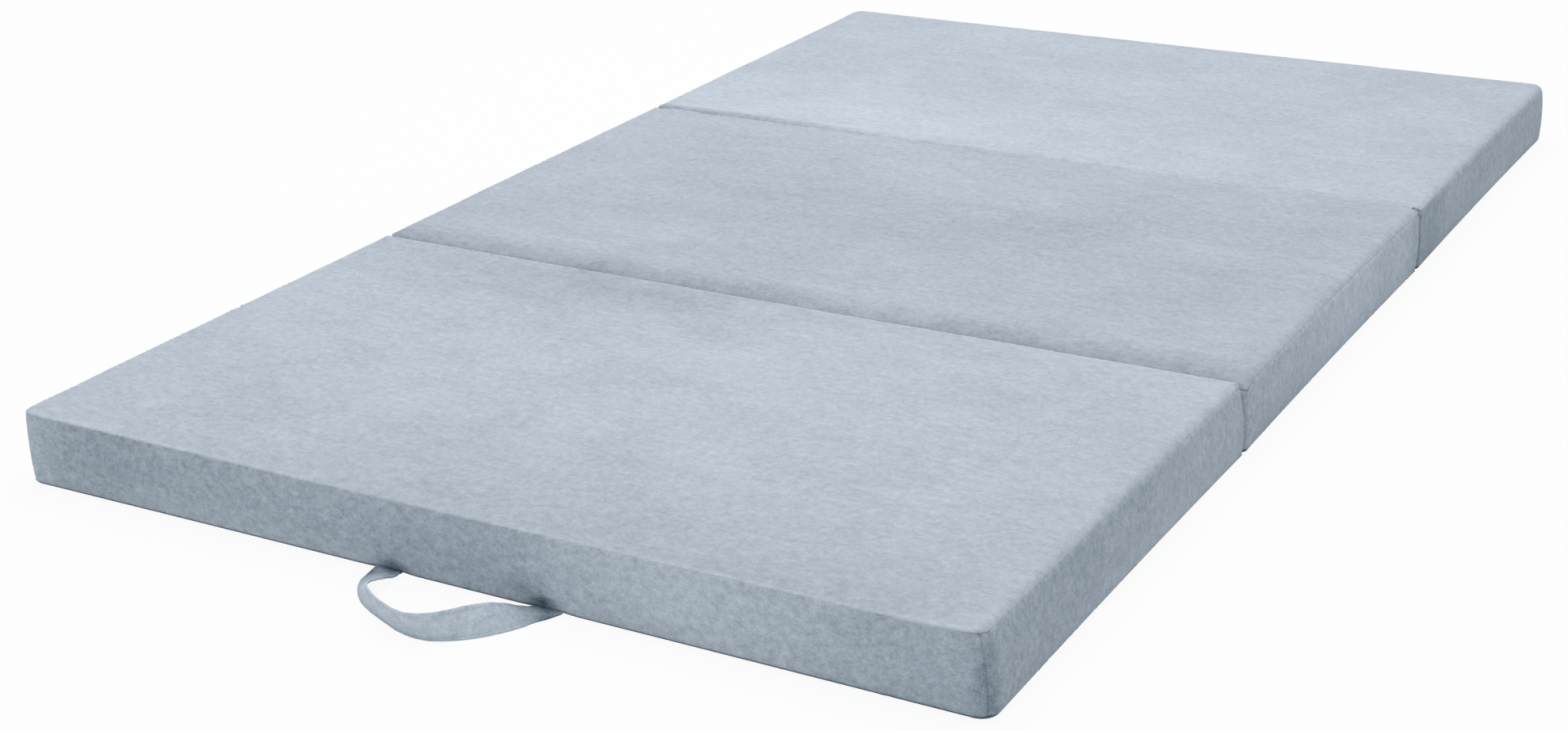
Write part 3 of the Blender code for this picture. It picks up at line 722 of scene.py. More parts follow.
settled = {}
for block in blocks:
    start, move = settled_cover(block)
    wide, long, tall = (int(size / settle_voxel) + 1
                        for size in (2 * half_width, block.high_y - block.low_y, height))
    rightward, rearward, upward = ((settle_voxel, 0, 0), (0, settle_voxel, 0), (0, 0, settle_voxel))
    left, front = -half_width, block.low_y
    settled[block.name] = {
        side: settled_grid(start, move, corner, first, second, size, way)
        for side, corner, first, second, size, way in (
            ("top", (left, front, height), rightward, rearward, (wide, long), (0, 0, 1)),
            ("right", (-left, front, 0), rearward, upward, (long, tall), (1, 0, 0)),
            ("front", (left, front, 0), rightward, upward, (wide, tall), (0, -1, 0)),
            ("rear", (left, block.high_y, 0), rightward, upward, (wide, tall), (0, 1, 0)),
        )
    }


def settled_lift(block, side, run, rise):
    """How far the settled cover stands off its smooth form, at places on one face."""
    if block.name not in settled or side == "left":
        return 0 * run
    if (side, block.free_front) == ("front", False) or (side, block.free_rear) == ("rear", False):
        return 0 * run
    from_run = block.low_y if side == "right" else -half_width
    from_rise = block.low_y if side == "top" else 0
    return on_grid(settled[block.name][side], (run - from_run) / settle_voxel,
                   (rise - from_rise) / settle_voxel)


pleat_rise, pleat_width, pleat_bow = 1.7, 0.0022, 6
top_waves = ((0.00035, 0.14), (0.00022, 0.05))


def top_relief(block, x, y):
    """Height of the top cloth over its smooth form."""
    puckers = 0
    for pleat in pleats[block.name]:
        turn = radians(pleat.turn)
        along = (x - pleat.x) * cos(turn) + (y - pleat.y) * sin(turn)
        aside = (y - pleat.y) * cos(turn) - (x - pleat.x) * sin(turn)
        bowed = aside - pleat_bow * along**2
        ridge = np.exp(-((along / pleat.length) ** 2) - (bowed / pleat_width) ** 2)
        puckers = puckers + pleat_rise * pleat.rise * ridge
    total = settled_lift(block, "top", x, y)
    if block.name in settled:  # the settled cloth's own rise takes the smooth crown's place
        x_share = np.clip(x / half_width, -1, 1)
        y_share = np.clip(2 * (y - block.low_y) / (block.high_y - block.low_y) - 1, -1, 1)
        total = total - crown * (1 - x_share**4) * (1 - y_share**4)
    for number, (rise, size) in enumerate(top_waves):
        total = total + rise * soft_noise(x, y, size, seeds[block.name] + number)
    return total + puckers + seam_relief(block, x, y, "top", seam_inset)


low_share, low_pull = 0.3, 0.005


def base_relief(block, x, y):
    """The same for the underside, which is flat where it lies on the floor."""
    pull = strap_pull(x, 0 * x) if block.free_front else 0
    inset = side_swell + bottom_radius * (1 - sin(bottom_seam))
    near = np.exp(-((np.maximum(y - block.low_y - inset, 0) / low_pull) ** 2))
    return low_share * seam_relief(block, x, y, "low", inset) + pull * near


def groove(away, depth=0.00014, width=0.0016):
    """How far cloth sinks beside a seam."""
    return -depth * np.exp(-((np.maximum(away, 0) / width) ** 1.2))


def cloth_piece(name, outer, inner, material, body, node):
    """A closed piece of cloth from its fine outer and coarse inner skins: points, faces, border."""
    count = len(outer[0])
    points = np.concatenate((outer[0], inner[0]))
    faces = list(outer[1])
    faces += [tuple(number + count for number in reversed(face)) for face in inner[1]]
    for edge, partner in zip(outer[2], inner[2]):
        faces += zip_rows([number + count for number in partner], list(edge))
    piece = new_piece(name, points, faces, material)
    face_outward(piece)
    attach(piece, body)
    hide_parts(node)


core_inset, core_rings = 0.046, 8


def border_corners(across, along):
    """Where a border's corners come as it is walked, and its end."""
    return np.cumsum((0, *(len(across) - 1, len(along) - 1) * 2)).tolist()


def lid(block, core_steps, turn_steps, flat_steps, angles, curve, depth, relief, facing=1):
    """A panel that covers a block's face: a grid in the middle, then rings out to the seam."""
    core = plan_lines(1, core_steps[0]), plan_lines(1, core_steps[1])
    flat_up = curve(0, depth)[1]
    grid = on_block(block, core[0][None], core[1][:, None], core_inset, flat_up)
    numbers = np.arange(grid.shape[0] * grid.shape[1]).reshape(grid.shape[:2])
    points = [grid.reshape(-1, 3)]
    if relief is not None:
        points[0][:, 2] += facing * relief(block, points[0][:, 0], points[0][:, 1])
    faces = grid_faces(numbers)
    inner_ring = rim_of(numbers)
    fine = plan_lines(turn_steps, flat_steps[0]), plan_lines(turn_steps, flat_steps[1])
    border = border_of(*fine)
    out = outward(*border)
    rolls = edge_rolls(block, *border)
    flat_inset = curve(0, depth, rolls)[0]
    corners_core, corners_fine = border_corners(*core), border_corners(*fine)
    stations = [(core_inset + (flat_inset - core_inset) * share, flat_up, 0, facing)
                for share in np.linspace(0, 1, core_rings + 1)[1:-1]]
    stations += [curve(angle, depth, rolls) for angle in angles]
    seam = stations[-1]
    count = numbers.size
    previous = None
    for inset, up, level, upright in stations:
        ring = on_block(block, *border, inset, up)
        if relief is not None:
            away = np.hypot(inset - seam[0], up - seam[1])
            lift = relief(block, ring[:, 0], ring[:, 1]) + groove(away)
            ring[:, :2] += out * (lift * level)[:, None]
            ring[:, 2] = np.maximum(ring[:, 2] + lift * upright, 0)
        points.append(ring)
        ids = list(range(count, count + len(ring)))
        if previous is None:
            for k in range(4):
                first = (ids + ids[:1])[corners_fine[k]:corners_fine[k + 1] + 1]
                second = (inner_ring + inner_ring[:1])[corners_core[k]:corners_core[k + 1] + 1]
                faces += zip_rows(first, second)
        else:
            faces += [(previous[k], ids[k], ids[(k + 1) % len(ids)], previous[(k + 1) % len(ids)])
                      for k in range(len(ids))]
        previous, count = ids, count + len(ids)
    return np.concatenate(points), faces, [previous + previous[:1]]


# The top panels: velour, one on each section with its pile up, drawn over the foam's upper edge and
# sewn to the strips all round, right side to right side.
fine_rim, coarse_rim = (9, (600, 330)), (3, (70, 40))
top_turns = np.radians((0, 12, 24, 35, 43, 48.5, 52))
for block in blocks:
    seam_angle = top_seam - seam_gap / top_radius
    outer = lid(block, (200, 110), *fine_rim, [*top_turns, seam_angle], top_edge, 0, top_relief)
    inner = lid(block, (50, 28), *coarse_rim, [0, top_seam / 2, seam_angle], top_edge,
                cloth_thickness, None)
    cloth_piece(f"{block.name}_velour_top", outer, inner, velour_tops[block.name],
                f"{block.name}_section", f"{block.name}_top_panel")

# The boxing strips: velour bands round the sides, joined at the corners in seams that sink deeper,
# and sewn to the panels above and below. The left one is cut in two for the zip.
corner_gap = 0.004
corner_names = {("front", 1): "front_right", ("right", -1): "front_right",
                ("right", 1): "rear_right", ("rear", 1): "rear_right",
                ("rear", -1): "rear_left", ("left", 1): "rear_left",
                ("left", -1): "front_left", ("front", -1): "front_left"}
corner_seeds = {"front_right": 71, "rear_right": 83, "rear_left": 97, "front_left": 103}
outward_ways = {"front": (0, -1), "rear": (0, 1), "right": (1, 0), "left": (-1, 0)}


def side_columns(side, across, along):
    """The lines that cross along one side, from corner to corner, walked anticlockwise."""
    def held_back(lines):
        lines = lines.copy()
        lines[[0, -1], 1] *= 1 - corner_gap
        return lines

    if side in ("front", "rear"):
        moving, still = held_back(across), along[0 if side == "front" else -1]
        moving = moving if side == "front" else moving[::-1]
        return moving, np.broadcast_to(still, moving.shape)
    moving, still = held_back(along), across[-1 if side == "right" else 0]
    moving = moving if side == "right" else moving[::-1]
    return np.broadcast_to(still, moving.shape), moving


top_fade, low_fade = 0.014, 0.02
bay_edge, bay_ends = 0.02, 0.04
bay_waves = ((0.0007, 0.075), (0.0004, 0.03))
ridge_height, ridge_pitch, ridge_reach, ridge_fade = 0.00070, 0.0072, 0.008, 1.3
ridge_drift, ridge_drift_size = 2, 0.02
least_ridge, ridge_change, ridge_size = 0.55, 0.45, 0.015
ridge_from_top, ridge_from_low = 0.012, 0.006
corner_depth, corner_width = 0.0016, 0.0075


def side_relief(block, side, points, seam_points, up_from_low, down_from_top):
    """How far a boxing strip stands out of its smooth form."""
    x, y = seam_points[:, 0], seam_points[:, 1]
    run = x if side in ("front", "rear") else y
    at_seam = top_relief(block, x, y)
    plain = gather(block, side, run, 0 * run)
    lift = (at_seam - plain) * np.exp(-((down_from_top / top_fade) ** 2))
    lift = lift + gather(block, side, run, down_from_top)
    low = low_share * gather(block, side, run, up_from_low, "low")
    lift = lift + low * np.exp(-((up_from_low / low_fade) ** 2))
    seed = seeds[block.name] + 7 * seeds[side]
    window = np.clip(up_from_low / bay_edge, 0, 1) * np.clip(down_from_top / bay_edge, 0, 1)
    soft = 0
    for number, (rise, size) in enumerate(bay_waves):
        soft = soft + rise * soft_noise(run, up_from_low, size, seed + number)
    ends = (points[:, :2] - points[0, :2], points[:, :2] - points[-1, :2])
    first, last = (np.hypot(end[:, 0], end[:, 1]) for end in ends)
    bay = np.clip(np.minimum(first, last) / bay_ends, 0, 1)
    lift = lift + (soft + bay * settled_lift(block, side, run, up_from_low)) * window
    rising = 1 if side in ("front", "right") else -1
    clear = ridge_height * np.clip(down_from_top / ridge_from_top, 0, 1)
    clear = clear * np.clip(up_from_low / ridge_from_low, 0, 1)
    for away, direction in ((first, -rising), (last, rising)):
        seed = corner_seeds[corner_names[(side, direction)]] + seeds[block.name]
        shift = ridge_drift * soft_noise(up_from_low, away, ridge_drift_size, seed)
        ridges = np.sin(2 * pi * up_from_low / ridge_pitch + shift)
        change = soft_noise(up_from_low, 0 * away, ridge_size, seed + 1)
        ridges = ridges * (least_ridge + ridge_change * change)
        lift = lift + clear * ridges * np.exp(-((away / ridge_reach) ** ridge_fade))
        lift = lift + groove(away, corner_depth, corner_width)
    if block.free_front and side == "front":
        lift = lift + strap_pull(x, up_from_low)
    return lift + groove(down_from_top) + groove(up_from_low)


def strip(block, side, rows, turn_steps, straight_steps, depth, relief):
    """A boxing strip's skin: rows of points from its low edge to its high one, and its border."""
    columns = side_columns(side, *(plan_lines(turn_steps, steps) for steps in straight_steps))
    moving = columns[0] if side in ("front", "rear") else columns[1]
    corner = moving[:, 1] != 0
    turned = np.stack((columns[0][:, 1], columns[1][:, 1]), 1)
    turned = turned / np.maximum(np.hypot(turned[:, 0], turned[:, 1]), 1e-9)[:, None]
    out = np.where(corner[:, None], turned, np.array(outward_ways[side], float))
    rolls = edge_rolls(block, *columns)
    seam_points = on_block(block, *columns, *top_edge(top_seam, 0, rolls)[:2])
    low_up = bottom_edge(bottom_seam)[1]
    top_up = top_edge(top_seam, 0, rolls)[1]
    grid = []
    for curve, value in rows:
        amount = np.broadcast_to(value(moving) if callable(value) else value, (len(moving),))
        inset, up, level, upright = curve(amount.astype(float), depth, rolls)
        points = on_block(block, *columns, inset, up)
        if relief:
            lift = side_relief(block, side, points, seam_points, up - low_up, top_up - up)
            points[:, :2] += out * (lift * level)[:, None]
            points[:, 2] += lift * upright
        grid.append(points)
    grid = np.stack(grid)
    numbers = np.arange(grid.shape[0] * grid.shape[1]).reshape(grid.shape[:2])
    edges = [numbers[0].tolist(), numbers[:, -1].tolist(), numbers[-1, ::-1].tolist(),
             numbers[::-1, 0].tolist()]
    return grid.reshape(-1, 3), grid_faces(numbers), edges


slot_half, slot_least, slot_run_out = 0.005, 0.0001, 0.012


def slot_share(line):
    """Half the zip slot's height, as a share of the side's: it closes toward both ends."""
    opened = np.clip((1 - abs(line[:, 0])) / slot_run_out, 0, 1) * (line[:, 1] == 0)
    opened = opened**2 * (3 - 2 * opened)
    return (slot_least + (slot_half - slot_least) * opened) / side_half


seam_up = top_seam + seam_gap / top_radius
seam_low = bottom_seam + seam_gap / bottom_radius
low_turns = [(bottom_edge, angle) for angle in (seam_low, *np.radians((62, 65, 70, 77, 84, 90)))]
high_turns = [(top_edge, angle)
              for angle in (*np.radians((90, 82, 74, 67, 61.5, 57.5, 55.5)), seam_up)]
coarse_low = [(bottom_edge, seam_low), (bottom_edge, pi / 2)]
coarse_high = [(top_edge, pi / 2), (top_edge, seam_up)]


def side_rows(steps):
    """Rows up a whole side, between its two turned edges."""
    return [(side_face, share) for share in np.linspace(-1, 1, steps + 1)[1:-1]]


def slot_rows(sign, shares):
    """Rows from the zip's slot up or down the side."""
    edge = (side_face, lambda line: sign * slot_share(line))
    return [edge] + [(side_face, sign * share) for share in shares]


coarse_strip = (3, (75, 42))
slot_shares, coarse_shares = (0.155, 0.17, 0.20, 0.26, 0.34, 0.45, 0.58, 0.72, 0.86), (0.4, 0.7)
whole = low_turns + side_rows(15) + high_turns, coarse_low + side_rows(4) + coarse_high
halves = {
    "upper": (slot_rows(1, slot_shares) + high_turns, slot_rows(1, coarse_shares) + coarse_high),
    "lower": (low_turns + slot_rows(-1, slot_shares)[::-1],
              coarse_low + slot_rows(-1, coarse_shares)[::-1]),
}


for block in blocks:
    bands = [(side, side, f"boxing_{side}", whole) for side in ("front", "right", "rear")]
    bands += [("left", f"left_{half}", f"boxing_left_{half}", rows)
              for half, rows in halves.items()]
    for side, band, node, (rows, coarse_rows) in bands:
        outer = strip(block, side, rows, *fine_rim, 0, True)
        inner = strip(block, side, coarse_rows, *coarse_strip, cloth_thickness, False)
        cloth_piece(f"{block.name}_{band}_strip", outer, inner, velour_side,
                    f"{block.name}_section", f"{block.name}_{node}")

# The underside: a plain woven cloth, darker than the velour, sewn to the strips just under the
# lower edge, where it shows as a thin dark line that painted shade on the strips' bottom edge
# deepens.
underside = new_finish("woven_underside_cloth", {"Roughness": 0.9, "Specular IOR Level": 0.2})
weave = worked_out(underside, "MAXIMUM", *(
    pattern(underside, "ShaderNodeTexWave", {"Scale": 420, "Distortion": 0.6}, direction=way)
    for way in ("X", "Y")
))
tinted(underside, weave, (0.115, 0.145, 0.175), (0.19, 0.23, 0.27))
raised(underside, weave, 0.4, 0.0004)

base_turns = np.radians((0, 12, 24, 36, 46, 53, 57))
for block in blocks:
    seam_angle = bottom_seam - seam_gap / bottom_radius
    outer = lid(block, (60, 34), *fine_rim, [*base_turns, seam_angle], bottom_edge, 0,
                base_relief, -1)
    inner = lid(block, (30, 17), *coarse_rim, [0, bottom_seam / 2, seam_angle], bottom_edge,
                cloth_thickness, None, -1)
    cloth_piece(f"{block.name}_underside", outer, inner, underside.material,
                f"{block.name}_section", f"{block.name}_base_panel")

# The fabric hinges: doubled strips of cloth sewn across the two folds, in the underside's cloth at
# the bottom of the first fold and in velour at the top of the second.
hinge_end = half_width - 0.0135
hinge_columns, hinge_rows = 400, 16
hinge_thickness, hinge_taper, end_fade, end_share = 0.0009, 0.6, 0.004, 0.3
lower_face, lower_ripple, lower_ripple_size = 0.0013, 0.0003, 0.03
upper_face, valley, valley_left, valley_bend = 0.0887, 0.0009, 0.0030, 1.5
valley_change, valley_size = 0.25, 0.05
pucker, pucker_size, pucker_slant, pucker_drift = 0.00030, 0.007, 0.006, 0.01


def doubled_cloth(name, skins, material):
    """A closed piece from two skins laid on one grid and joined round their edges."""
    numbers = np.arange(skins[0].shape[0] * skins[0].shape[1]).reshape(skins[0].shape[:2])
    faces = grid_faces(numbers)
    faces += [tuple(number + numbers.size for number in face) for face in grid_faces(numbers)]
    for edge in (numbers[0], numbers[-1], numbers[:, 0], numbers[:, -1]):
        faces += [(a, b, b + numbers.size, a + numbers.size) for a, b in zip(edge[:-1], edge[1:])]
    points = np.concatenate([skin.reshape(-1, 3) for skin in skins])
    piece = new_piece(name, points, faces, material)
    face_outward(piece)
    return piece


def fold_hinge(name, node, fold_y, reach, surface, material):
    """A doubled strip across a fold. Its face's height is given over its length and its width."""
    shares = np.linspace(-1, 1, hinge_rows + 1)[:, None]
    x = np.linspace(-hinge_end, hinge_end, hinge_columns + 1)[None]
    face = surface(x, shares)
    ends = end_share + (1 - end_share) * np.clip((hinge_end - abs(x)) / end_fade, 0, 1)
    skins = []
    for depth in (0, hinge_thickness * (1 - hinge_taper * shares**4) * ends):
        skins.append(np.stack(np.broadcast_arrays(x, fold_y + reach * shares, face - depth), -1))
    piece = doubled_cloth(name, skins, material)
    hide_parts(node)
    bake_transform(piece)


def lower_surface(x, shares):
    """Just over the floor, in soft ripples that die out at both edges."""
    ripple = lower_ripple * soft_noise(x, 0 * x, lower_ripple_size, 211)
    return lower_face + ripple * (1 - shares**2)


def upper_surface(x, shares):
    """Level with the tops of both sections, with a valley that is deepest at the left end."""
    depth = valley + valley_left * (0.5 - 0.5 * x / hinge_end) ** valley_bend
    depth = depth * (1 + valley_change * soft_noise(x, 0 * x, valley_size, 223))
    puckers = soft_noise(x + pucker_slant * shares, pucker_drift * shares, pucker_size, 227)
    return upper_face - (depth - pucker * puckers) * (1 - shares**2) ** valley_bend


lower_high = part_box("lower_fold_hinge")[1]
fold_hinge("lower_hinge_strip", "lower_fold_hinge", -1 / 3, lower_high.y + 1 / 3, lower_surface,
           underside.material)
fold_hinge("upper_hinge_strip", "upper_fold_hinge", 1 / 3, 0.0105, upper_surface,
           velour_tops["middle"])

# The zips: one along the left side of each section, so that the cover comes off for washing. Each
# has two woven tapes behind the slot, a row of moulded coil on each, and a metal slider and pull.
zip_tape_cloth = new_finish("woven_zip_tape", {"Roughness": 0.82})
twill = pattern(zip_tape_cloth, "ShaderNodeTexWave", {"Scale": 520}, direction="DIAGONAL")
tinted(zip_tape_cloth, twill, (0.22, 0.265, 0.31), (0.34, 0.39, 0.445))
raised(zip_tape_cloth, twill, 0.5, 0.0002)

coil_nylon = new_finish("coil_nylon", {"Roughness": 0.38})
cast = pattern(coil_nylon, "ShaderNodeTexNoise", {"Scale": 300})
tinted(coil_nylon, cast, (0.27, 0.32, 0.37), (0.36, 0.41, 0.46))

zip_metal = new_finish("plated_zip_metal", {"Metallic": 1})
rubbed = pattern(zip_metal, "ShaderNodeTexNoise", {"Scale": 700, "Detail": 5})
tinted(zip_metal, rubbed, (0.42, 0.43, 0.45), (0.68, 0.69, 0.71))
gloss = zip_metal.nodes.new("ShaderNodeMapRange")
gloss.inputs["To Min"].default_value = 0.25
gloss.inputs["To Max"].default_value = 0.45
zip_metal.links.new(rubbed, gloss.inputs["Value"])
zip_metal.links.new(gloss.outputs["Result"], zip_metal.shader.inputs["Roughness"])

metal_edge, same_point = 0.00016, 1e-6
flat_angle, sharp_angle = radians(2), radians(30)
metal_parts = {"zip_slider": "slider", "zip_pull": "pull",
               "zip_stop_front": "section", "zip_stop_rear": "section"}
for block in blocks:
    for part, body in metal_parts.items():
        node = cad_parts[f"{block.name}_{part}"]
        bm = bmesh.new()
        bm.from_mesh(node.data)
        bmesh.ops.remove_doubles(bm, verts=bm.verts, dist=same_point)
        bmesh.ops.dissolve_limit(bm, angle_limit=flat_angle, verts=bm.verts, edges=bm.edges)
        sharp = [edge for edge in bm.edges
                 if len(edge.link_faces) == 2 and edge.calc_face_angle() > sharp_angle]
        bmesh.ops.bevel(bm, geom=sharp, offset=metal_edge, segments=2, profile=0.5, affect="EDGES",
                        clamp_overlap=True)
        mesh = bpy.data.meshes.new(f"{block.name}_eased_{part}")
        bm.to_mesh(mesh)
        bm.free()
        mesh.shade_smooth()
        mesh.materials.clear()
        mesh.materials.append(zip_metal.material)
        eased = bpy.data.objects.new(mesh.name, mesh)
        scene.collection.objects.link(eased)
        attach(eased, f"{block.name}_{body}")
        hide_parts(node.name)


def repeated_along(name, path, shape, material, pitch, body, turn=0.0):
    """Copies of one small shape along a path of points, made by nodes and then a plain mesh."""
    tree = bpy.data.node_groups.new(name, "GeometryNodeTree")
    face = tree.interface
    face.new_socket(name="Path", in_out="INPUT", socket_type="NodeSocketGeometry")
    pitch_socket = face.new_socket(name="Pitch", in_out="INPUT", socket_type="NodeSocketFloat")
    shape_socket = face.new_socket(name="Shape", in_out="INPUT", socket_type="NodeSocketObject")
    turn_socket = face.new_socket(name="Turn", in_out="INPUT", socket_type="NodeSocketFloat")
    face.new_socket(name="Copies", in_out="OUTPUT", socket_type="NodeSocketGeometry")
    nodes, links = tree.nodes, tree.links
    given = nodes.new("NodeGroupInput")
    made = nodes.new("NodeGroupOutput")
    line = nodes.new("GeometryNodeMeshToCurve")
    spaced = nodes.new("GeometryNodeCurveToPoints")
    spaced.mode = "LENGTH"
    shape_info = nodes.new("GeometryNodeObjectInfo")
    copies = nodes.new("GeometryNodeInstanceOnPoints")
    turned = nodes.new("GeometryNodeRotateInstances")
    turn_by = nodes.new("ShaderNodeCombineXYZ")
    real = nodes.new("GeometryNodeRealizeInstances")
    paint = nodes.new("GeometryNodeSetMaterial")
    paint.inputs["Material"].default_value = material
    links.new(given.outputs["Path"], line.inputs[0])
    links.new(line.outputs[0], spaced.inputs["Curve"])
    links.new(given.outputs["Pitch"], spaced.inputs["Length"])
    links.new(given.outputs["Shape"], shape_info.inputs["Object"])
    links.new(spaced.outputs["Points"], copies.inputs["Points"])
    links.new(spaced.outputs["Rotation"], copies.inputs["Rotation"])
    links.new(shape_info.outputs["Geometry"], copies.inputs["Instance"])
    links.new(copies.outputs[0], turned.inputs["Instances"])
    links.new(given.outputs["Turn"], turn_by.inputs["Z"])
    links.new(turn_by.outputs[0], turned.inputs["Rotation"])
    links.new(turned.outputs[0], real.inputs[0])
    links.new(real.outputs[0], paint.inputs["Geometry"])
    links.new(paint.outputs[0], made.inputs[0])
    track = bpy.data.meshes.new(f"{name}_path")
    steps = [(k, k + 1) for k in range(len(path) - 1)]
    track.from_pydata([tuple(point) for point in path], steps, [])
    holder = bpy.data.objects.new(f"{name}_path", track)
    scene.collection.objects.link(holder)
    grow = holder.modifiers.new("copies", "NODES")
    grow.node_group = tree
    grow[pitch_socket.identifier] = pitch
    grow[shape_socket.identifier] = shape
    grow[turn_socket.identifier] = turn
    evaluated = holder.evaluated_get(bpy.context.evaluated_depsgraph_get())
    done = bpy.data.meshes.new_from_object(evaluated)
    done.name = name
    holder.modifiers.remove(grow)
    bpy.data.objects.remove(holder)
    if not done.materials:
        done.materials.append(material)
    piece = bpy.data.objects.new(name, done)
    scene.collection.objects.link(piece)
    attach(piece, body)


def wire_ring(name, half_wide, half_tall, wire, around, sides, squareness):
    """A small ring of wire, standing across the path."""
    points, faces = [], []
    for k in range(around):
        angle = 2 * pi * k / around
        middle = Vector((half_wide * np.sign(cos(angle)) * abs(cos(angle)) ** (2 / squareness),
                         half_tall * np.sign(sin(angle)) * abs(sin(angle)) ** (2 / squareness), 0))
        out = middle.normalized()
        for m in range(sides):
            twist = 2 * pi * m / sides
            points.append(middle + out * wire * cos(twist) + Vector((0, 0, wire * sin(twist))))
            faces.append((k * sides + m, k * sides + (m + 1) % sides,
                          (k + 1) % around * sides + (m + 1) % sides, (k + 1) % around * sides + m))
    mesh = bpy.data.meshes.new(name)
    mesh.from_pydata([tuple(point) for point in points], [], faces)
    mesh.shade_smooth()
    return bpy.data.objects.new(name, mesh)


def stitch_shape(name, length, thick):
    """One stitch: a short thread that dives into the cloth at both ends, lying along the path."""
    points, faces, sides = [], [], 6
    shares, narrowing = (-1, -0.82, -0.4, 0.4, 0.82, 1), 0.92
    for share in shares:
        radius = thick / 2 * (1 - narrowing * share**4)
        for m in range(sides):
            twist = 2 * pi * m / sides
            points.append((radius * cos(twist), radius * sin(twist), share * length / 2))
    for k in range(len(shares) - 1):
        faces += [(k * sides + m, k * sides + (m + 1) % sides, (k + 1) * sides + (m + 1) % sides,
                   (k + 1) * sides + m) for m in range(sides)]
    faces += [tuple(reversed(range(sides))), tuple(range(len(points) - sides, len(points)))]
    mesh = bpy.data.meshes.new(name)
    mesh.from_pydata(points, [], faces)
    mesh.shade_smooth()
    return bpy.data.objects.new(name, mesh)


thread = new_finish("sewing_thread", {"Roughness": 0.6})
plies = pattern(thread, "ShaderNodeTexWave", {"Scale": 900}, direction="DIAGONAL")
tinted(thread, plies, (0.30, 0.345, 0.39), (0.44, 0.49, 0.54))

stitch_length, stitch_pitch, stitch_thick = 0.0026, 0.0034, 0.00042
stitch = stitch_shape("stitch", stitch_length, stitch_thick)
placket_reach, placket_lift = 0.009, 0.0001
coil_wide, coil_tall, coil_wire, coil_square, coil_pitch = 0.00098, 0.00048, 0.00028, 3, 0.0014
coil_loop = wire_ring("coil_loop", coil_wide, coil_tall, coil_wire, 10, 4, coil_square)
coil_out, coil_off, coil_margin = 0.0007, 0.0008, 0.001
tape_in, tape_play, tape_thickness = 0.0006, 0.00005, 0.0005
tape_gap, tape_reach = 0.0003, 0.0137
tape_ribs, rib_depth, ribs_from = 6, 0.00008, 0.22
for block in blocks:
    body = f"{block.name}_section"
    for half, sign in (("upper", 1), ("lower", -1)):
        node = f"{block.name}_zip_tape_{half}"
        low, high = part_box(node)
        tape_face = high.x - tape_in
        y = np.linspace(low.y, high.y, 161)
        share = np.linspace(0, 1, 13)
        rib = np.where(share > ribs_from, rib_depth * np.cos(2 * pi * share * tape_ribs), 0.0)
        up = side_middle + sign * (tape_gap + tape_reach * share)
        skins = []
        for back in (0, 1):
            x = tape_face + tape_play + back * tape_thickness + (1 - 2 * back) * rib
            skins.append(np.stack(np.broadcast_arrays(x[None], y[:, None], up[None]), -1))
        tape = doubled_cloth(f"{block.name}_tape_{half}", skins, zip_tape_cloth.material)
        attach(tape, body)
        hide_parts(node)
        shift = coil_margin + (1 + sign) / 4 * coil_pitch
        coil_x, coil_z = tape_face - coil_out, side_middle + sign * coil_off
        path = [(coil_x, low.y + shift, coil_z), (coil_x, high.y - coil_margin, coil_z)]
        repeated_along(f"{block.name}_coil_{half}", path, coil_loop, coil_nylon.material,
                       coil_pitch, body, radians(90))
        row = [(side_face, sign * placket_reach / side_half)] * 2
        seam_line = strip(block, "left", row, *fine_rim, -placket_lift, True)[0]
        seam_line = seam_line[:len(seam_line) // 2]
        seam_line = seam_line[(seam_line[:, 1] > low.y) & (seam_line[:, 1] < high.y)]
        repeated_along(f"{block.name}_placket_stitches_{half}", seam_line, stitch,
                       thread.material, stitch_pitch, body)

# The carrying strap: one strip of velour folded double with its edges turned in, stitched along
# both edges, twisted half round and sewn flat into the bottom seam of the foot end at both ends.
strap_width = 0.034
strap_half = 0.0012
strap_left, strap_right, strap_reach, strap_drop = -0.1045, 0.1270, 0.1023, 0.020
strap_axis_y, strap_axis_z = -0.9967349, 0.0032508
strap_shares = (
    (0.000, 0.000, 1.00, 0.00),
    (0.007, 0.183, 0.98, 0.00),
    (0.045, 0.408, 0.85, -0.06),
    (0.142, 0.638, 0.47, -0.24),
    (0.286, 0.816, 0.14, -0.30),
    (0.421, 0.939, 0.06, -0.32),
    (0.526, 1.000, 0.08, -0.28),
    (0.621, 0.973, 0.10, -0.15),
    (0.714, 0.876, -0.08, 0.02),
    (0.791, 0.735, -0.36, 0.20),
    (0.857, 0.554, -0.60, 0.22),
    (0.904, 0.375, -0.83, 0.22),
    (0.936, 0.213, -0.95, 0.16),
    (0.965, 0.106, -0.99, 0.07),
    (1.000, 0.000, -1.00, 0.00),
)


def smooth_row(table, place):
    """The table's values at a place from 0 to 1, on a smooth curve through its rows."""
    last = len(table) - 1
    step = min(int(place * last), last - 1)
    part = place * last - step
    rows = [table[max(0, min(last, step + offset))] for offset in (-1, 0, 1, 2)]
    from_start, from_end = 2 * part**3 - 3 * part**2 + 1, 3 * part**2 - 2 * part**3
    bend_start, bend_end = part**3 - 2 * part**2 + part, part**3 - part**2
    return [start * from_start + (end - before) / 2 * bend_start
            + end * from_end + (after - start) / 2 * bend_end
            for before, start, end, after in zip(*rows)]


def strap_edge(place):
    """The strap's lower edge at a place from 0 to 1 along it."""
    span, reach = smooth_row(strap_shares, max(0, min(1, place)))[:2]
    out = strap_reach * max(0, reach)
    fall = max(0, 1 - out / strap_drop) ** 2
    return Vector((strap_left + (strap_right - strap_left) * span, strap_axis_y - out,
                   strap_half + (strap_axis_z - strap_half) * fall))


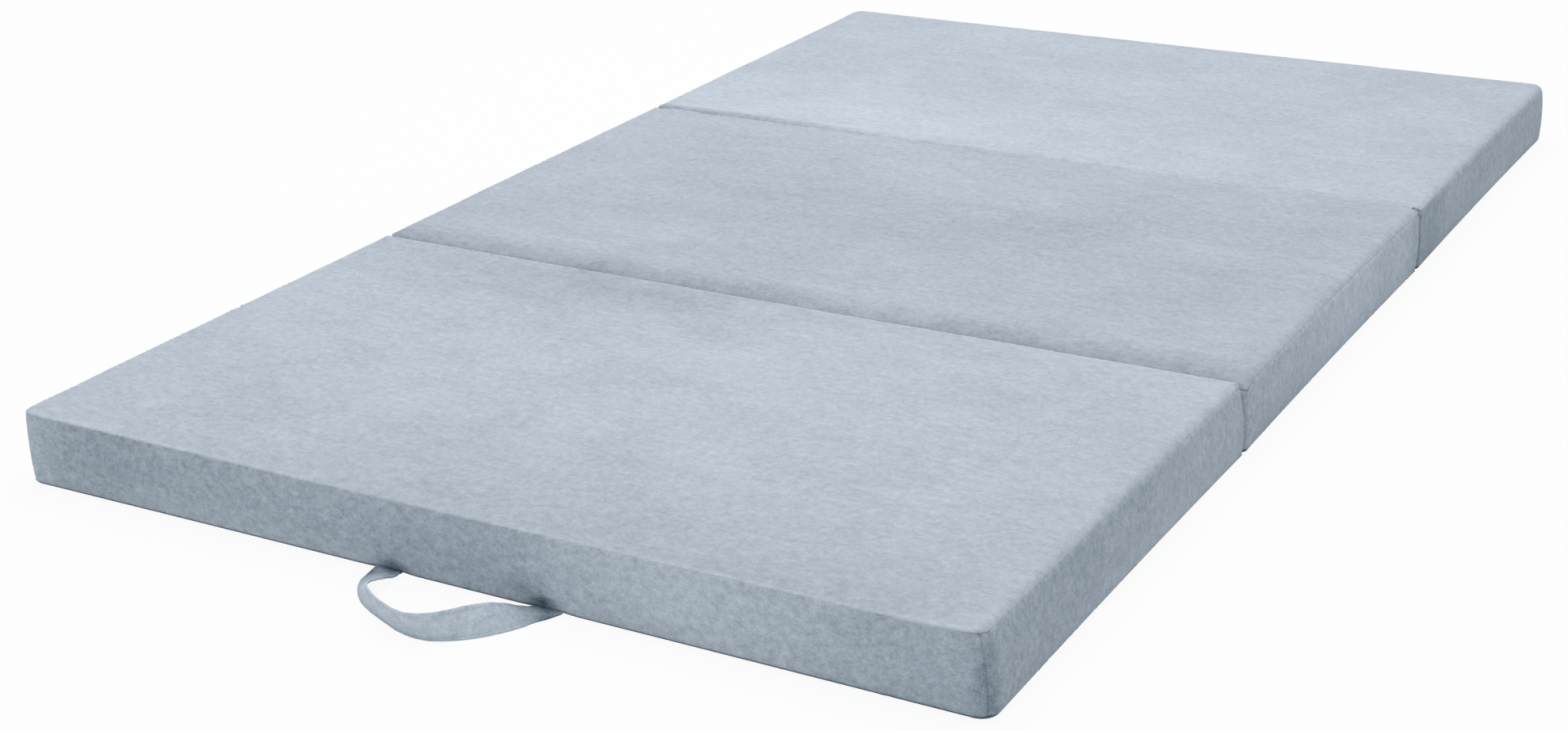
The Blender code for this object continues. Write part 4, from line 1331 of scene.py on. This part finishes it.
def strap_point(place, across, off):
    """A point on the strap: its place along, its share of the width, and how far off the middle."""
    step = 0.004
    tangent = (strap_edge(place + step) - strap_edge(place - step)).normalized()
    lean_x, lean_y = smooth_row(strap_shares, max(0, min(1, place)))[2:]
    rise = max(0, 1 - lean_x**2 - lean_y**2) ** 0.5
    up = Vector((lean_x, lean_y, rise)).normalized()
    normal = up.cross(tangent).normalized()
    return strap_edge(place) + up * (strap_width - 2 * strap_half) * across + normal * off


cup_depth, strap_fade, strap_length = 0.0011, 0.08, 0.36
strap_waves = ((0.0009, 0.05), (0.0005, 0.012))
crease_depth, crease_share, crease_wide, crease_sway, crease_turns = 0.0008, 0.62, 0.07, 0.1, 9


def strap_relief(place, across):
    """The strap's soft creases: it cups a little and buckles along its length."""
    window = min(1, place / strap_fade, (1 - place) / strap_fade)
    relief = -cup_depth * (1 - (2 * across - 1) ** 2)
    for number, (rise, size) in enumerate(strap_waves):
        run, over = place * strap_length, across * strap_width
        relief = relief + rise * float(soft_noise(run, over, size, 301 + number))
    aside = across - crease_share - crease_sway * sin(crease_turns * place)
    return window * (relief - crease_depth * np.exp(-((aside / crease_wide) ** 2)))


strap_steps, strap_lanes = 220, 18
strap_turns = np.radians((30, 60, 90, 120, 150))
stitch_share, stitch_dip, stitch_reach = 0.10, 0.35, 0.035
strap_clear, tail_steps, tail_rise = 0.0001, (0.003, 0.006), 0.0003
lanes = np.linspace(0, 1, strap_lanes + 1)
profile = [(share, 1, 0.0) for share in lanes]
profile += [(1, cos(turn), sin(turn)) for turn in strap_turns]
profile += [(share, -1, 0.0) for share in lanes[::-1]]
profile += [(0, -cos(turn), -sin(turn)) for turn in strap_turns]
points, rings = [], []
for step in range(strap_steps + 1):
    place = step / strap_steps
    ring = []
    for share, side, beyond in profile:
        from_stitch = (min(share, 1 - share) - stitch_share) / stitch_reach
        thick = strap_half * (1 - stitch_dip * np.exp(-(from_stitch**2)))
        reach = share + beyond * strap_half / (strap_width - 2 * strap_half)
        point = strap_point(place, reach, side * thick + strap_relief(place, share))
        point.z = max(point.z, strap_clear)
        ring.append(len(points))
        points.append(point)
    rings.append(ring)
count = len(profile)
for end in (0, -1):
    for back in tail_steps:
        ring = []
        for number in rings[end]:
            ring.append(len(points))
            points.append(points[number] + Vector((0, back, tail_rise)))
        rings.insert(0 if end == 0 else len(rings), ring)
faces = [(a[k], a[(k + 1) % count], b[(k + 1) % count], b[k])
         for a, b in zip(rings, rings[1:]) for k in range(count)]
faces += [tuple(rings[0]), tuple(reversed(rings[-1]))]
strap = new_piece("carrying_strap", points, faces, velour_side)
face_outward(strap)
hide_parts("carry_strap")
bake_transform(strap)

stitch_depth, stitch_proud, seam_clear = 0.65, 0.00006, 0.0006
for edge_name, share in (("lower", stitch_share), ("upper", 1 - stitch_share)):
    for face_name, side in (("inner", -1), ("outer", 1)):
        line = []
        for step in range(strap_steps * 2 + 1):
            place = step / strap_steps / 2
            off = side * (stitch_depth * strap_half + stitch_proud) + strap_relief(place, share)
            point = strap_point(place, share, off)
            if point.z > seam_clear and point.y < strap_axis_y - 0.0060:
                line.append(point)
        repeated_along(f"strap_stitches_{edge_name}_{face_name}", line, stitch, thread.material,
                       stitch_pitch, "strap")
